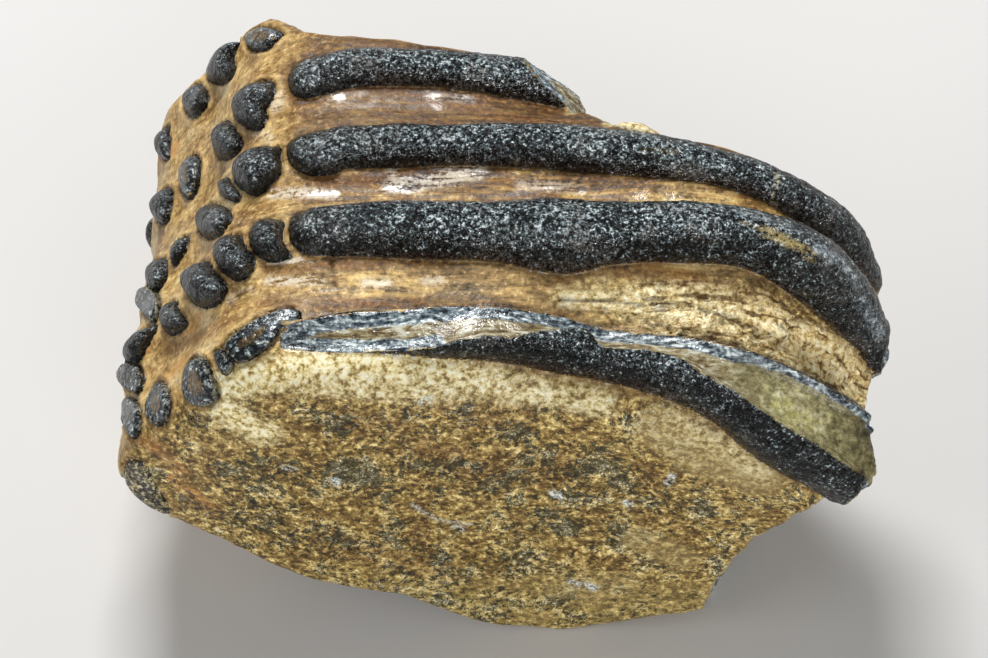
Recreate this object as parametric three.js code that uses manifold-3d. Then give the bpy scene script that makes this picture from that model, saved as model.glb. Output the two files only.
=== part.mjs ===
// A piece of fossil mammoth molar, lying on one side. Millimetres, +Z up.
// X runs along the tall plates of the tooth: finger-like plate tips at -X, the
// broken root end at +X. Y runs through the stack of plates: the broad
// cement-covered face looks towards -Y, the broken back towards +Y.
// It grew as one piece, so it is one solid: a cement body, the rugose enamel
// margins of its plates standing out of it as bars, and the beads of enamel
// that end each plate at the tip.
import * as THREE from "three";
import { mergeVertices } from "three/addons/utils/BufferGeometryUtils.js";
import Module from "manifold-3d";

// ---------------------------------------------------------------- dimensions
const AXIS_Z = 38; // height of the mid-plane of the plates over the resting face
const REST_Z = 0; // the resting face
const BODY_DETAIL = 11; // icosahedron subdivision of the cement body
const BODY_CENTRE = new THREE.Vector3(3, 10, 37);
const BODY_STRETCH = new THREE.Vector3(1.5, 1.12, 1.0);
const SHOULDER = 13; // blend between the upper side and the broad front face
const EDGE = 2.5; // blend along its lower edge
const BACK_BLEND = 4; // blend at the broken back edge
const BEAD_FLAT = 0.85; // how far a bead is flattened along the outward direction
const PLATE_Y = [57, 39.5, 20, 0.5, -19]; // mid-planes of plates 0..4 at the tip end

// Outline of the cement in the X-Z plane, as distance from the point (0, AXIS_Z)
// every 7.5 degrees; 0 looks to -X, 90 up, 180 to +X.
const OUTLINE = [
  76.2, 80.4, 82.4, 82.1, 75.2, 65.7, 55.5, 49.5, 45.2, 42.5, 40.4, 39.5, 39.5,
  39.6, 39.8, 40.8, 42.2, 44.5, 47.4, 51.0, 55.6, 60.8, 65.6, 68.0, 67.3, 64.6,
  60.4, 58.2, 57.2, 55.6, 52.0, 48.2, 44.5, 41.5, 39.6, 38.7, 38.3, 38.6, 39.3,
  40.6, 43.5, 47.4, 52.6, 57.9, 62.5, 66.2, 69.7, 72.6,
];

// Enamel bars of the upper side: [x, y, z, radius] along each plate margin,
// from the rounded end nearest the tip to the broken root end.
const BARS_UP = {
  1: [[-34.2, 38.6, 71.9, 4.2], [-31.0, 39.0, 73.4, 4.7], [-26.1, 40.0, 75.3, 4.2],
      [-17.0, 40.2, 75.6, 3.8], [-9.8, 40.2, 74.6, 4.2], [-2.5, 40.2, 73.0, 4.8],
      [4.7, 40.2, 71.0, 5.3], [14.0, 40.0, 68.4, 5.4]],
  2: [[-33.6, 19.6, 73.6, 4.5], [-27.3, 20.4, 74.5, 5.1], [-16.6, 20.8, 75.4, 4.8],
      [-9.3, 20.8, 75.6, 4.4], [1.1, 20.8, 75.8, 4.5], [11.7, 20.8, 74.5, 5.3],
      [18.8, 20.4, 73.5, 5.6], [29.4, 19.2, 72.8, 5.6], [36.4, 18.1, 72.3, 5.1],
      [45.3, 16.5, 71.0, 4.7], [54.3, 14.6, 66.7, 4.8], [61.2, 12.8, 61.2, 4.9],
      [65.4, 11.4, 53.0, 4.4], [68.8, 10.6, 46, 4.3]],
  3: [[-33.2, 1.1, 74.9, 4.7], [-30.0, 1.2, 75.3, 5.1], [-24.8, 1.2, 75.4, 5.5],
      [-16.2, 1.2, 75.8, 5.7], [-7.6, 1.2, 75.4, 5.9], [1.0, 1.0, 74.9, 6.4],
      [7.2, 0.8, 74.5, 7.3], [12.4, 0.8, 73.9, 7.6], [18.3, 1.0, 74.8, 6.5],
      [25.1, 0.8, 76.2, 5.6], [32.0, 0.7, 76.6, 5.6], [42.3, 0.3, 75.9, 5.3],
      [52.9, -1.5, 71.6, 6.1], [60.2, -3.2, 63.6, 6.1], [66.2, -5.0, 54.5, 4.5],
      [70.2, -6.4, 47.0, 4.8]],
  4: [[-32.6, -18.8, 72.2, 2.8], [-27.7, -18.7, 72.8, 3.5], [-22.6, -18.7, 73.3, 3.8],
      [-15.8, -18.7, 73.7, 3.9], [-9.1, -18.7, 73.8, 4.4], [-2.4, -18.6, 73.4, 4.6],
      [4.4, -18.5, 72.1, 4.7], [11.2, -18.6, 69.8, 4.9], [18.0, -19.6, 68.5, 4.7],
      [24.8, -21.0, 68.4, 5.1], [31.5, -22.6, 67.9, 5.9], [37.3, -24.2, 67.4, 6.6],
      [41.2, -25.4, 66.2, 7.1], [46.1, -26.8, 63.5, 7.9], [52.1, -28.2, 59.9, 8.5],
      [57.8, -29.8, 56.6, 8.3], [61.5, -30.8, 53.4, 7.8]],
};

// Enamel beads that end the plates at the tip: [x, y, z, radius, long, turn].
// "long" stretches a bead along its row, "turn" is that row's slope in degrees.
const BEADS = [
  [-42.1, 54.1, 67.7, 3.7, 1.46, 48], [-50.5, 58.3, 55.7, 4.9, 1.46, 60],
  [-56.8, 57.2, 48.1, 4.2, 1.03, 48], [-62.7, 54.4, 36.8, 4.7, 1.02, 67],
  [-43.4, 36.2, 68.4, 5.2, 1.08, 50], [-47.8, 35.6, 61.1, 4.8, 1.18, 62],
  [-55.7, 37.0, 48.0, 4.8, 0.85, 51], [-62.2, 36.8, 39.6, 4.6, 1.16, 65],
  [-42.2, 18.8, 71.2, 4.9, 1.04, 33], [-46.2, 19.5, 65.2, 3.8, 1.13, 55],
  [-48.9, 15.9, 60.9, 5.2, 1.32, 58], [-57.3, 18.4, 50.0, 3.0, 0.93, 50],
  [-61.6, 17.3, 43.6, 4.3, 0.97, 57], [-60.8, 9.9, 41.5, 5.2, 1.42, 61],
  [-38.5, 1.0, 74.0, 4.4, 0.85, 17], [-44.9, -0.5, 70.9, 4.7, 0.94, 39],
  [-50.1, -1.1, 64.1, 5.2, 1.35, 60], [-56.2, -1.4, 55.7, 3.5, 1.30, 56],
  [-64.2, -1.2, 46.9, 3.0, 1.55, 60], [-64.0, -4.6, 40.9, 3.9, 1.55, 68],
  [-38.7, -18.0, 70.1, 4.4, 1.38, 14], [-44.8, -20.8, 67.9, 2.2, 0.95, 49],
  [-48.5, -20.0, 61.5, 4.2, 1.05, 59], [-56.2, -18.1, 51.8, 4.3, 0.89, 53],
  [-61.7, -15.3, 42.5, 5.2, 1.17, 67], [-61.7, -19.6, 34.4, 5.2, 1.23, 75],
  [25.2, 25.4, 73.4, 2.8, 1.70, -12], // a sliver of the next plate's broken margin
];

// Enamel bars and beads of the under side, buried where the tooth rests.
const BARS_DOWN = {
  0: [[-52, 56, 19.5, 3.6], [-45, 55, 13.5, 4.2], [-36, 53.5, 9.6, 4.6], [-24, 51, 6.2, 4.8], [-12, 48.5, 4.6, 4.8]],
  1: [[-53, 39.6, 17.0, 3.6], [-44, 39.5, 11.6, 4.6], [-32, 39.5, 7.4, 5.0], [-20, 39.5, 4.7, 5.2], [-6, 39.2, 3.9, 5.4], [8, 38.5, 3.9, 5.6], [24, 37, 3.9, 5.4]],
  2: [[-52, 20.2, 16.0, 3.6], [-43, 20, 10.6, 4.8], [-31, 20, 6.6, 5.2], [-19, 20, 4.4, 5.4], [-4, 19.8, 3.7, 5.6], [14, 19.4, 3.7, 5.8], [32, 18.5, 3.7, 5.6], [46, 17.5, 3.7, 5.2]],
  3: [[-50, 0.7, 14.8, 3.6], [-42, 0.5, 10.0, 4.8], [-30, 0.5, 6.2, 5.4], [-18, 0.5, 4.4, 5.6], [-4, 0.3, 3.7, 5.8], [14, -0.2, 3.7, 6.0], [32, -1, 3.7, 5.8], [44, -2, 3.7, 5.2]],
  4: [[-36, -17.4, 13.2, 3.2], [-26, -18, 9.2, 4.4], [-14, -18.8, 6.2, 5.0], [0, -19.2, 4.2, 5.4], [14, -19.8, 3.7, 5.6], [30, -20.6, 3.7, 5.4], [42, -21.2, 3.7, 4.8]],
};
const BEADS_DOWN = [
  [-63.0, 57.0, 28.0, 3.6, 1.1, 105], [-58.6, 56.8, 22.4, 3.2, 1.1, 125],
  [-64.6, 40.2, 29.0, 3.7, 1.1, 105], [-60.4, 40.0, 21.6, 3.5, 1.1, 125],
  [-63.0, 20.4, 23.6, 3.4, 1.1, 115], [-57.6, 20.2, 17.8, 3.0, 1.1, 135],
  [-64.2, 1.0, 26.6, 3.6, 1.1, 110], [-57.8, 0.8, 19.2, 3.6, 1.1, 130],
  [-64.2, -14.2, 33.0, 3.6, 1.1, 95],
];

// Break across the root end: how far +X the tooth reaches at each height, front face.
const ROOT_BREAK = [[-10, 35.5], [0, 36.5], [6, 38.2], [15, 40.6], [24, 43.5], [33, 47.8], [42, 53.8], [50, 60.4], [56, 63.2], [62, 63.4], [67, 62.6], [72, 62.4], [84, 65.0]];
const ROOT_BREAK_BACK = 8.0; // the break lies this much further out behind the front plate
const ROOT_PLATE_STEP = 1.5; // enamel plates stand this proud of the cement in the break
// Broken back: how far +Y the tooth reaches along X, at the upper edge.
const BACK_BREAK = [[-80, 64.5], [-52, 63], [-42, 61.5], [-35, 54], [-28, 50.8], [-12, 47.6], [6, 46], [13, 44.5], [16.5, 34], [21, 28.5], [29, 25.0], [36, 23.6], [45, 22.0], [54, 20.2], [61, 18.4], [75, 15.6]];
// Worn strip along the margin of the front plate: x, then y and z of its rear and
// front edges. All enamel above the strip is gone and the dentine lies open.
const WORN = [
  [-35, -17.6, 74.0, -21.0, 72.2], [-31, -16.6, 74.6, -21.6, 72.4], [-27.7, -16.2, 75.0, -22.2, 72.9],
  [-22.6, -15.9, 75.4, -22.5, 73.2], [-16, -15.8, 75.7, -22.7, 73.5], [-10.7, -15.4, 76.0, -22.6, 74.8],
  [-5.7, -15.1, 76.0, -21.6, 76.1], [-2.3, -15.0, 75.9, -21.2, 76.6], [3, -15.1, 75.3, -21.0, 75.9],
  [7, -15.2, 74.5, -19.4, 75.3], [12, -15.4, 73.2, -17.9, 73.6], [15.4, -16.0, 72.3, -16.9, 72.5],
  [18.5, -16.7, 71.6, -20.6, 72.2], [24, -17.1, 71.1, -21.1, 72.4], [29, -17.8, 71.2, -22.4, 72.8],
  [31.7, -18.3, 71.7, -23.6, 73.2], [35.6, -19.5, 72.2, -27.2, 73.1], [40.6, -21.2, 72.2, -29.8, 71.9],
  [43.8, -21.6, 71.6, -31.5, 70.1], [48.8, -22.2, 69.8, -34.0, 67.5], [54.1, -24.0, 67.6, -36.0, 64.9],
  [59.4, -25.6, 65.2, -37.6, 60.9], [70, -28.6, 58.0, -39.6, 52.0],
];

// ------------------------------------------------------------------- helpers
const clamp = THREE.MathUtils.clamp, smooth = THREE.MathUtils.smoothstep;
const lerp = THREE.MathUtils.lerp;

// Piecewise-linear table, eased between its entries.
function table(rows, x, column = 1) {
  if (x <= rows[0][0]) return rows[0][column];
  for (let i = 1; i < rows.length; i++)
    if (x <= rows[i][0]) {
      const t = (x - rows[i - 1][0]) / (rows[i][0] - rows[i - 1][0]);
      return lerp(rows[i - 1][column], rows[i][column], t);
    }
  return rows[rows.length - 1][column];
}

// Corners shared between faces are made one corner, so that moving it keeps the
// surface closed.
function joined(geometry) {
  geometry.deleteAttribute("normal");
  geometry.deleteAttribute("uv");
  return mergeVertices(geometry, 1e-4);
}

// Repeatable value noise, -1..1.
function hash(i, j, k) {
  let h = (i * 374761393 + j * 668265263 + k * 2147483647) | 0;
  h = Math.imul(h ^ (h >>> 13), 1274126177);
  h = Math.imul(h ^ (h >>> 16), 1911520717);
  return ((h ^ (h >>> 15)) >>> 0) / 2147483648 - 1;
}
function noise(x, y, z) {
  const i = Math.floor(x), j = Math.floor(y), k = Math.floor(z);
  const f = (t) => t * t * (3 - 2 * t), u = f(x - i), v = f(y - j), w = f(z - k);
  const at = (a, b, c) => hash(i + a, j + b, k + c);
  return lerp(
    lerp(lerp(at(0, 0, 0), at(1, 0, 0), u), lerp(at(0, 1, 0), at(1, 1, 0), u), v),
    lerp(lerp(at(0, 0, 1), at(1, 0, 1), u), lerp(at(0, 1, 1), at(1, 1, 1), u), v),
    w,
  );
}

// Rounded maximum: joins two faces of the body with a soft edge of width k.
function roundMax(a, b, k) {
  const h = Math.max(k - Math.abs(a - b), 0) / k;
  return Math.max(a, b) + (h * h * k) / 4;
}

// ---------------------------------------------------------------- cement body
function outlineRadius(degrees) {
  const s = (degrees + 180) / 7.5, i = Math.floor(s), t = s - i, n = OUTLINE.length;
  const p = (q) => OUTLINE[((i + q) % n + n) % n];
  const a = p(-1), b = p(0), c = p(1), d = p(2);
  return b + 0.5 * t * (c - a + t * (2 * a - 5 * b + 4 * c - d + t * (3 * (b - c) + d - a)));
}

// How far the cement lies under the common outline: lower over the front plate,
// over the broken rear end and where the front corner is bevelled away.
function outlineDrop(theta, x, y) {
  const upper = smooth(theta, 34, 52) * (1 - smooth(theta, 166, 178));
  let drop = 0;
  const front = table([[-30, 2.4], [0, 3.0], [12, 6.2], [20, 8.2], [40, 8.2], [60, 8.6]], x);
  drop += upper * front * smooth(-y, 5, 19);
  const rear = table([[-40, 1.6], [-10, 0.6], [0, 2.6], [12, 5.6], [22, 5.0], [40, 2.0], [60, 1.0]], x);
  drop += upper * rear * smooth(y, 27, 38);
  drop += 1.8 * smooth(y, 44, 58) * smooth(theta, 18, 40);
  const tip = table([[-14, 0], [-8, 0.9], [0, 2.0], [8, 3.4], [20, 2.8], [32, 1.8], [46, 0]], theta);
  drop += tip * (smooth(y, 3, 20) + 0.35 * smooth(y, 22, 40));
  const bevel = table([[-110, 0], [-90, 2.5], [-59, 10], [-30, 12.2], [-16, 12.5], [-7, 4.5], [0, 0]], theta);
  drop += bevel * smooth(-y, 8, 27);
  // shallow troughs between the plates
  const trough = (c, w) => Math.exp(-(((y - c) / w) ** 2));
  drop += 0.9 * (trough(30.2, 4.2) + trough(10.7, 4.2) + trough(-9.6, 4.6));
  return drop;
}

function frontFace(x, z) {
  return (
    -31.8 + 0.055 * z - 0.0025 * Math.max(x - 8, 0) * z +
    7.5 * Math.pow(clamp((-30 - x) / 36, 0, 1.3), 1.5) +
    0.5 * noise(x / 26, 3.1, z / 22)
  );
}

function backFace(x, z) {
  const shifted = x - Math.max(60 - z, 0) * 0.28;
  return (
    table(BACK_BREAK, shifted) + Math.max(62 - z, 0) * 0.03 +
    1.1 * noise(x / 15, 7.7, z / 13) + 0.6 * noise(x / 6.5, 1.3, z / 7.5)
  );
}

function rootBreak(y, z) {
  return table(ROOT_BREAK, z) + ROOT_BREAK_BACK * smooth(y, -31, -13);
}

function body(x, y, z) {
  const rho = Math.hypot(x, z - AXIS_Z);
  const theta = THREE.MathUtils.radToDeg(Math.atan2(z - AXIS_Z, -x));
  const side = rho - outlineRadius(theta) + outlineDrop(theta, x, y) + 0.35 * noise(x / 9, y / 9, z / 9);
  const front = frontFace(x, z) - y;
  const back = y - backFace(x, z);
  const root = x - rootBreak(y, z) - 3;
  // the lower front edge is broken away in a slanting chip
  const chip = 0.22 * (x - 14) - 0.59 * (y + 32) - 0.78 * z;
  const edge = lerp(EDGE, SHOULDER, smooth(theta, -4, 40));
  const shape = roundMax(roundMax(side, front, edge), back, BACK_BLEND);
  return roundMax(roundMax(shape, root, 1), chip, 1.5);
}

// A unit icosahedron stretched over the body, each corner pushed out from the
// centre to the surface.
function bodyGeometry() {
  const g = joined(new THREE.IcosahedronGeometry(1, BODY_DETAIL));
  const p = g.attributes.position, d = new THREE.Vector3(), q = new THREE.Vector3();
  for (let i = 0; i < p.count; i++) {
    d.fromBufferAttribute(p, i).multiply(BODY_STRETCH).normalize();
    let near = 0, far = 1;
    for (let r = 4; r < 140; r += 2) {
      q.copy(BODY_CENTRE).addScaledVector(d, r);
      if (body(q.x, q.y, q.z) > 0) { near = r - 2; far = r; break; }
    }
    for (let k = 0; k < 22; k++) {
      const mid = (near + far) / 2;
      q.copy(BODY_CENTRE).addScaledVector(d, mid);
      if (body(q.x, q.y, q.z) > 0) far = mid; else near = mid;
    }
    p.setXYZ(i, q.x, q.y, q.z);
  }
  return g;
}

// ------------------------------------------------------------- bars and beads
const Y_AXIS = new THREE.Vector3(0, 1, 0);

// A sphere drawn out along a curve: its rings become sections of the bar and its
// poles the rounded ends.
function barGeometry(rows, along, round, seed) {
  const curve = new THREE.CatmullRomCurve3(rows.map((r) => new THREE.Vector3(r[0], r[1], r[2])), false, "centripetal");
  const g = new THREE.SphereGeometry(1, round, along);
  const p = g.attributes.position, caps = 3;
  const c = new THREE.Vector3(), t = new THREE.Vector3(), u = new THREE.Vector3(), w = new THREE.Vector3();
  const n = rows.length - 1;
  for (let j = 0; j <= along; j++) {
    const end = j <= caps ? -1 : j >= along - caps ? 1 : 0;
    const a = end < 0 ? 0 : end > 0 ? 1 : (j - caps) / (along - 2 * caps);
    const bend = end < 0 ? (caps - j) / caps : end > 0 ? (j - along + caps) / caps : 0;
    const s = a * n, k = Math.min(Math.floor(s), n - 1);
    let radius = lerp(rows[k][3], rows[k + 1][3], s - k);
    curve.getPoint(a, c);
    curve.getTangent(a, t);
    u.crossVectors(t, Y_AXIS).normalize();
    w.crossVectors(u, t).normalize();
    c.addScaledVector(t, end * Math.sin((bend * Math.PI) / 2) * radius * 0.9);
    const f = Math.cos((bend * Math.PI) / 2);
    for (let i = 0; i <= round; i++) {
      const psi = ((i % round) / round) * 2 * Math.PI + 0.02 * seed;
      const v = j * (round + 1) + i;
      const bump = f * (0.32 * noise(c.x / 4.2 + seed * 9.1, Math.cos(psi) * 1.3, Math.sin(psi) * 1.3));
      const rr = f < 1e-9 ? 0 : radius * f + bump;
      p.setXYZ(
        v,
        c.x + rr * (Math.sin(psi) * u.x + Math.cos(psi) * w.x),
        c.y + rr * (Math.sin(psi) * u.y + Math.cos(psi) * w.y),
        c.z + rr * (Math.sin(psi) * u.z + Math.cos(psi) * w.z),
      );
    }
  }
  return joined(g);
}

function beadGeometry([x, y, z, r, long, turn], detail, seed) {
  const g = joined(new THREE.IcosahedronGeometry(r, detail));
  const p = g.attributes.position;
  for (let i = 0; i < p.count; i++) {
    const s = 1 + 0.06 * noise(p.getX(i) / 2.6 + seed * 5.3, p.getY(i) / 2.6, p.getZ(i) / 2.6);
    p.setXYZ(i, p.getX(i) * s * long, p.getY(i) * s, p.getZ(i) * s * BEAD_FLAT);
  }
  g.applyMatrix4(new THREE.Matrix4().makeRotationY(-THREE.MathUtils.degToRad(turn)));
  g.applyMatrix4(new THREE.Matrix4().makeTranslation(x, y, z));
  return g;
}

// -------------------------------------------------------------------- breaks
// A block with one rough face, for taking off everything past the root break.
function rootCutter() {
  const nz = 15, rowsY = [];
  for (const c of [57, 39.5, 19, 0, -21]) rowsY.push(c - 6.2, c - 5.4, c, c + 5.4, c + 6.2);
  rowsY.push(-44, -33, 30, 9.5, -10.5, 48.5, 70);
  rowsY.sort((a, b) => a - b);
  const g = joined(new THREE.BoxGeometry(1, 1, 1, 1, rowsY.length - 1, nz));
  const p = g.attributes.position;
  for (let i = 0; i < p.count; i++) {
    const j = Math.round((p.getY(i) + 0.5) * (rowsY.length - 1));
    const y = rowsY[j] + 0.013 * j, z = (p.getZ(i) + 0.5) * 104 - 11.37;
    let x = 120;
    if (p.getX(i) < 0) {
      const inPlate = [57, 39.5, 19, 0, -21].some((c) => Math.abs(rowsY[j] - c) < 5.9);
      x = rootBreak(y, z) + (inPlate ? ROOT_PLATE_STEP : 0) - 0.4 +
        1.5 * noise(5.5, y / 8, z / 9) + 0.8 * noise(2.5, y / 3.5, z / 4);
    }
    p.setXYZ(i, x, y, z);
  }
  return g;
}

// The strip of missing enamel along the front plate.
function wornCutter() {
  const n = 30;
  const g = joined(new THREE.BoxGeometry(1, 1, 1, n, 3, 1));
  const p = g.attributes.position;
  for (let i = 0; i < p.count; i++) {
    const x = lerp(WORN[0][0], WORN[WORN.length - 1][0], p.getX(i) + 0.5) + 0.0071 * i / p.count;
    const across = 0.5 - p.getY(i); // 0 at the rear edge, 1 at the front edge
    const k = (p.getX(i) + 0.5) * n;
    const yR = table(WORN, x, 1), zR = table(WORN, x, 2), yF = table(WORN, x, 3), zF = table(WORN, x, 4);
    let y = lerp(yR, yF, across), z = lerp(zR, zF, across);
    if (across < 0.01) y += 0.4;
    if (across > 0.99) y -= 0.5;
    if (p.getZ(i) > 0) z = 99;
    else if (across > 0.2 && across < 0.8) z -= 0.4 + 1.4 * smooth(x, 30, 44) + 0.3 * noise(x / 5, y / 4, 3.3);
    p.setXYZ(i, x + (k < 0.5 ? -1 : 0), y, z);
  }
  return g;
}

// A slanting block that takes the end off the rearmost long bar.
function endCutter() {
  const g = joined(new THREE.BoxGeometry(40, 30, 40, 4, 4, 4));
  const p = g.attributes.position;
  for (let i = 0; i < p.count; i++)
    if (p.getX(i) < -19) p.setX(i, p.getX(i) + 0.9 * noise(p.getY(i) / 6, p.getZ(i) / 6, 8.2));
  g.applyMatrix4(new THREE.Matrix4().makeRotationFromEuler(new THREE.Euler(0, -0.72, 0.42, "ZYX")));
  g.applyMatrix4(new THREE.Matrix4().makeTranslation(4.6 + 16.5, 42 + 9.5, 73.5 + 11.5));
  return g;
}

// ------------------------------------------------------------------ the solid
const wasm = await Module();
wasm.setup();

function solid(geometry) {
  const p = geometry.attributes.position, index = new Uint32Array(geometry.index.array);
  const [a, b, c] = [new THREE.Vector3(), new THREE.Vector3(), new THREE.Vector3()];
  let volume = 0;
  for (let i = 0; i < index.length; i += 3) {
    a.fromBufferAttribute(p, index[i]);
    b.fromBufferAttribute(p, index[i + 1]);
    c.fromBufferAttribute(p, index[i + 2]);
    volume += a.dot(b.cross(c));
  }
  if (volume < 0) // turn a mirrored shape's faces out
    for (let i = 0; i < index.length; i += 3) [index[i + 1], index[i + 2]] = [index[i + 2], index[i + 1]];
  return new wasm.Manifold(
    new wasm.Mesh({ numProp: 3, vertProperties: new Float32Array(p.array), triVerts: index }),
  );
}

let tooth = solid(bodyGeometry());
for (const [k, rows] of Object.entries(BARS_UP)) tooth = tooth.add(solid(barGeometry(rows, 26, 12, +k)));
for (const [k, rows] of Object.entries(BARS_DOWN)) tooth = tooth.add(solid(barGeometry(rows, 12, 8, +k + 5)));
BEADS.forEach((b, i) => { tooth = tooth.add(solid(beadGeometry(b, b[3] > 4.75 ? 2 : 1, i + 1))); });
BEADS_DOWN.forEach((b, i) => { tooth = tooth.add(solid(beadGeometry(b, 1, i + 31))); });
tooth = tooth.subtract(solid(wornCutter()));
tooth = tooth.subtract(solid(rootCutter()));
tooth = tooth.subtract(solid(endCutter()));
// the resting face
const under = joined(new THREE.BoxGeometry(400, 400, 60)).translate(0, 0, REST_Z - 30);
tooth = tooth.subtract(solid(under));

// The origin is the centre of the footprint box, on the resting face.
const box = tooth.boundingBox();
tooth = tooth.translate([-(box.min[0] + box.max[0]) / 2, -(box.min[1] + box.max[1]) / 2, 0]);

const made = tooth.getMesh();
const geometry = new THREE.BufferGeometry();
geometry.setAttribute("position", new THREE.BufferAttribute(new Float32Array(made.vertProperties), made.numProp));
geometry.setIndex(new THREE.BufferAttribute(new Uint32Array(made.triVerts), 1));
geometry.computeVertexNormals();

const fossil = new THREE.Mesh(
  geometry,
  new THREE.MeshStandardMaterial({ color: 0xa8834a, roughness: 0.45, metalness: 0 }),
);
fossil.name = "mammoth_tooth";

const part = new THREE.Group();
part.name = "fossil_mammoth_tooth";
part.add(fossil);
export default part;
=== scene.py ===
"""Looks of the fossil mammoth tooth: one dense mesh grown from the same tables as
the CAD solid (millimetres, tooth frame), with one layered procedural material."""
import math

import bpy
import numpy as np
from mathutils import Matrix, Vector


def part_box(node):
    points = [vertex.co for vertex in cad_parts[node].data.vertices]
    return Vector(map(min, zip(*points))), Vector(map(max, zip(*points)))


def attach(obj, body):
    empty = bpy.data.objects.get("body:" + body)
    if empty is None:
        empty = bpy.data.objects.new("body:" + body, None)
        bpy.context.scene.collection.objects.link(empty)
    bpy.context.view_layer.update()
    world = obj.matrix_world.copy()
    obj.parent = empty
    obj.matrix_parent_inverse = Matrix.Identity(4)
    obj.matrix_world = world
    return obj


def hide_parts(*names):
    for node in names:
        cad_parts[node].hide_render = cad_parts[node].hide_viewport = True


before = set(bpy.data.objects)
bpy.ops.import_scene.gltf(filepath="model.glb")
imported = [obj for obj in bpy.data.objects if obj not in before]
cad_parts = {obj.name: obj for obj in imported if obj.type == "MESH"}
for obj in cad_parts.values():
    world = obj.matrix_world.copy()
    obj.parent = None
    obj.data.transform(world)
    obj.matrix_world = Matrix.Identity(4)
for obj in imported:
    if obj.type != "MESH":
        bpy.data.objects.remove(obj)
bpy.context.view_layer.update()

STEP = 0.64          # grid pitch of the surface, mm
MAX_TRIANGLES = 194000
# ------------------------------------------------------------ tables, millimetres
# Outline of the cement as distance from (x 0, z AXIS_Z), every 7.5 degrees.
AXIS_Z = 38.0
OUTLINE = [
  76.2, 80.4, 82.4, 82.1, 75.2, 65.7, 55.5, 49.5, 45.2, 42.5, 40.4, 39.5, 39.5,
  39.6, 39.8, 40.8, 42.2, 44.5, 47.4, 51.0, 55.6, 60.8, 65.6, 68.0, 67.3, 64.6,
  60.4, 58.2, 57.2, 55.6, 52.0, 48.2, 44.5, 41.5, 39.6, 38.7, 38.3, 38.6, 39.3,
  40.6, 43.5, 47.4, 52.6, 57.9, 62.5, 66.2, 69.7, 72.6,
]
# enamel bars of the upper side: x, y, z, radius
BARS_UP = {
  1: [[-34.2, 38.6, 71.9, 4.2], [-31.0, 39.0, 73.4, 4.7], [-26.1, 40.0, 75.3, 4.2],
      [-17.0, 40.2, 75.6, 3.8], [-9.8, 40.2, 74.6, 4.2], [-2.5, 40.2, 73.0, 4.8],
      [4.7, 40.2, 71.0, 5.3], [14.0, 40.0, 68.4, 5.4]],
  2: [[-33.6, 19.6, 73.6, 4.5], [-27.3, 20.4, 74.5, 5.1], [-16.6, 20.8, 75.4, 4.8],
      [-9.3, 20.8, 75.6, 4.4], [1.1, 20.8, 75.8, 4.5], [11.7, 20.8, 74.5, 5.3],
      [18.8, 20.4, 73.5, 5.6], [29.4, 19.2, 72.8, 5.6], [36.4, 18.1, 72.3, 5.1],
      [45.3, 16.5, 71.0, 4.7], [54.3, 14.6, 66.7, 4.8], [61.2, 12.8, 61.2, 4.9],
      [65.4, 11.4, 53.0, 4.4], [68.8, 10.6, 46, 4.3]],
  3: [[-33.2, 1.1, 74.9, 4.7], [-30.0, 1.2, 75.3, 5.1], [-24.8, 1.2, 75.4, 5.5],
      [-16.2, 1.2, 75.8, 5.7], [-7.6, 1.2, 75.4, 5.9], [1.0, 1.0, 74.9, 6.4],
      [7.2, 0.8, 74.5, 7.3], [12.4, 0.8, 73.9, 7.6], [18.3, 1.0, 74.8, 6.5],
      [25.1, 0.8, 76.2, 5.6], [32.0, 0.7, 76.6, 5.6], [42.3, 0.3, 75.9, 5.3],
      [52.9, -1.5, 71.6, 6.1], [60.2, -3.2, 63.6, 6.1], [66.2, -5.0, 54.5, 4.5],
      [70.2, -6.4, 47.0, 4.8]],
  4: [[-32.6, -18.8, 72.2, 2.8], [-27.7, -18.7, 72.8, 3.5], [-22.6, -18.7, 73.3, 3.8],
      [-15.8, -18.7, 73.7, 3.9], [-9.1, -18.7, 73.8, 4.4], [-2.4, -18.6, 73.4, 4.6],
      [4.4, -18.5, 72.1, 4.7], [11.2, -18.6, 69.8, 4.9], [18.0, -19.6, 68.5, 4.7],
      [24.8, -21.0, 68.4, 5.1], [31.5, -22.6, 67.9, 5.9], [37.3, -24.2, 67.4, 6.6],
      [41.2, -25.4, 66.2, 7.1], [46.1, -26.8, 63.5, 7.9], [52.1, -28.2, 59.9, 8.5],
      [57.8, -29.8, 56.6, 8.3], [61.5, -30.8, 53.4, 7.8]],
}
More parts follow.
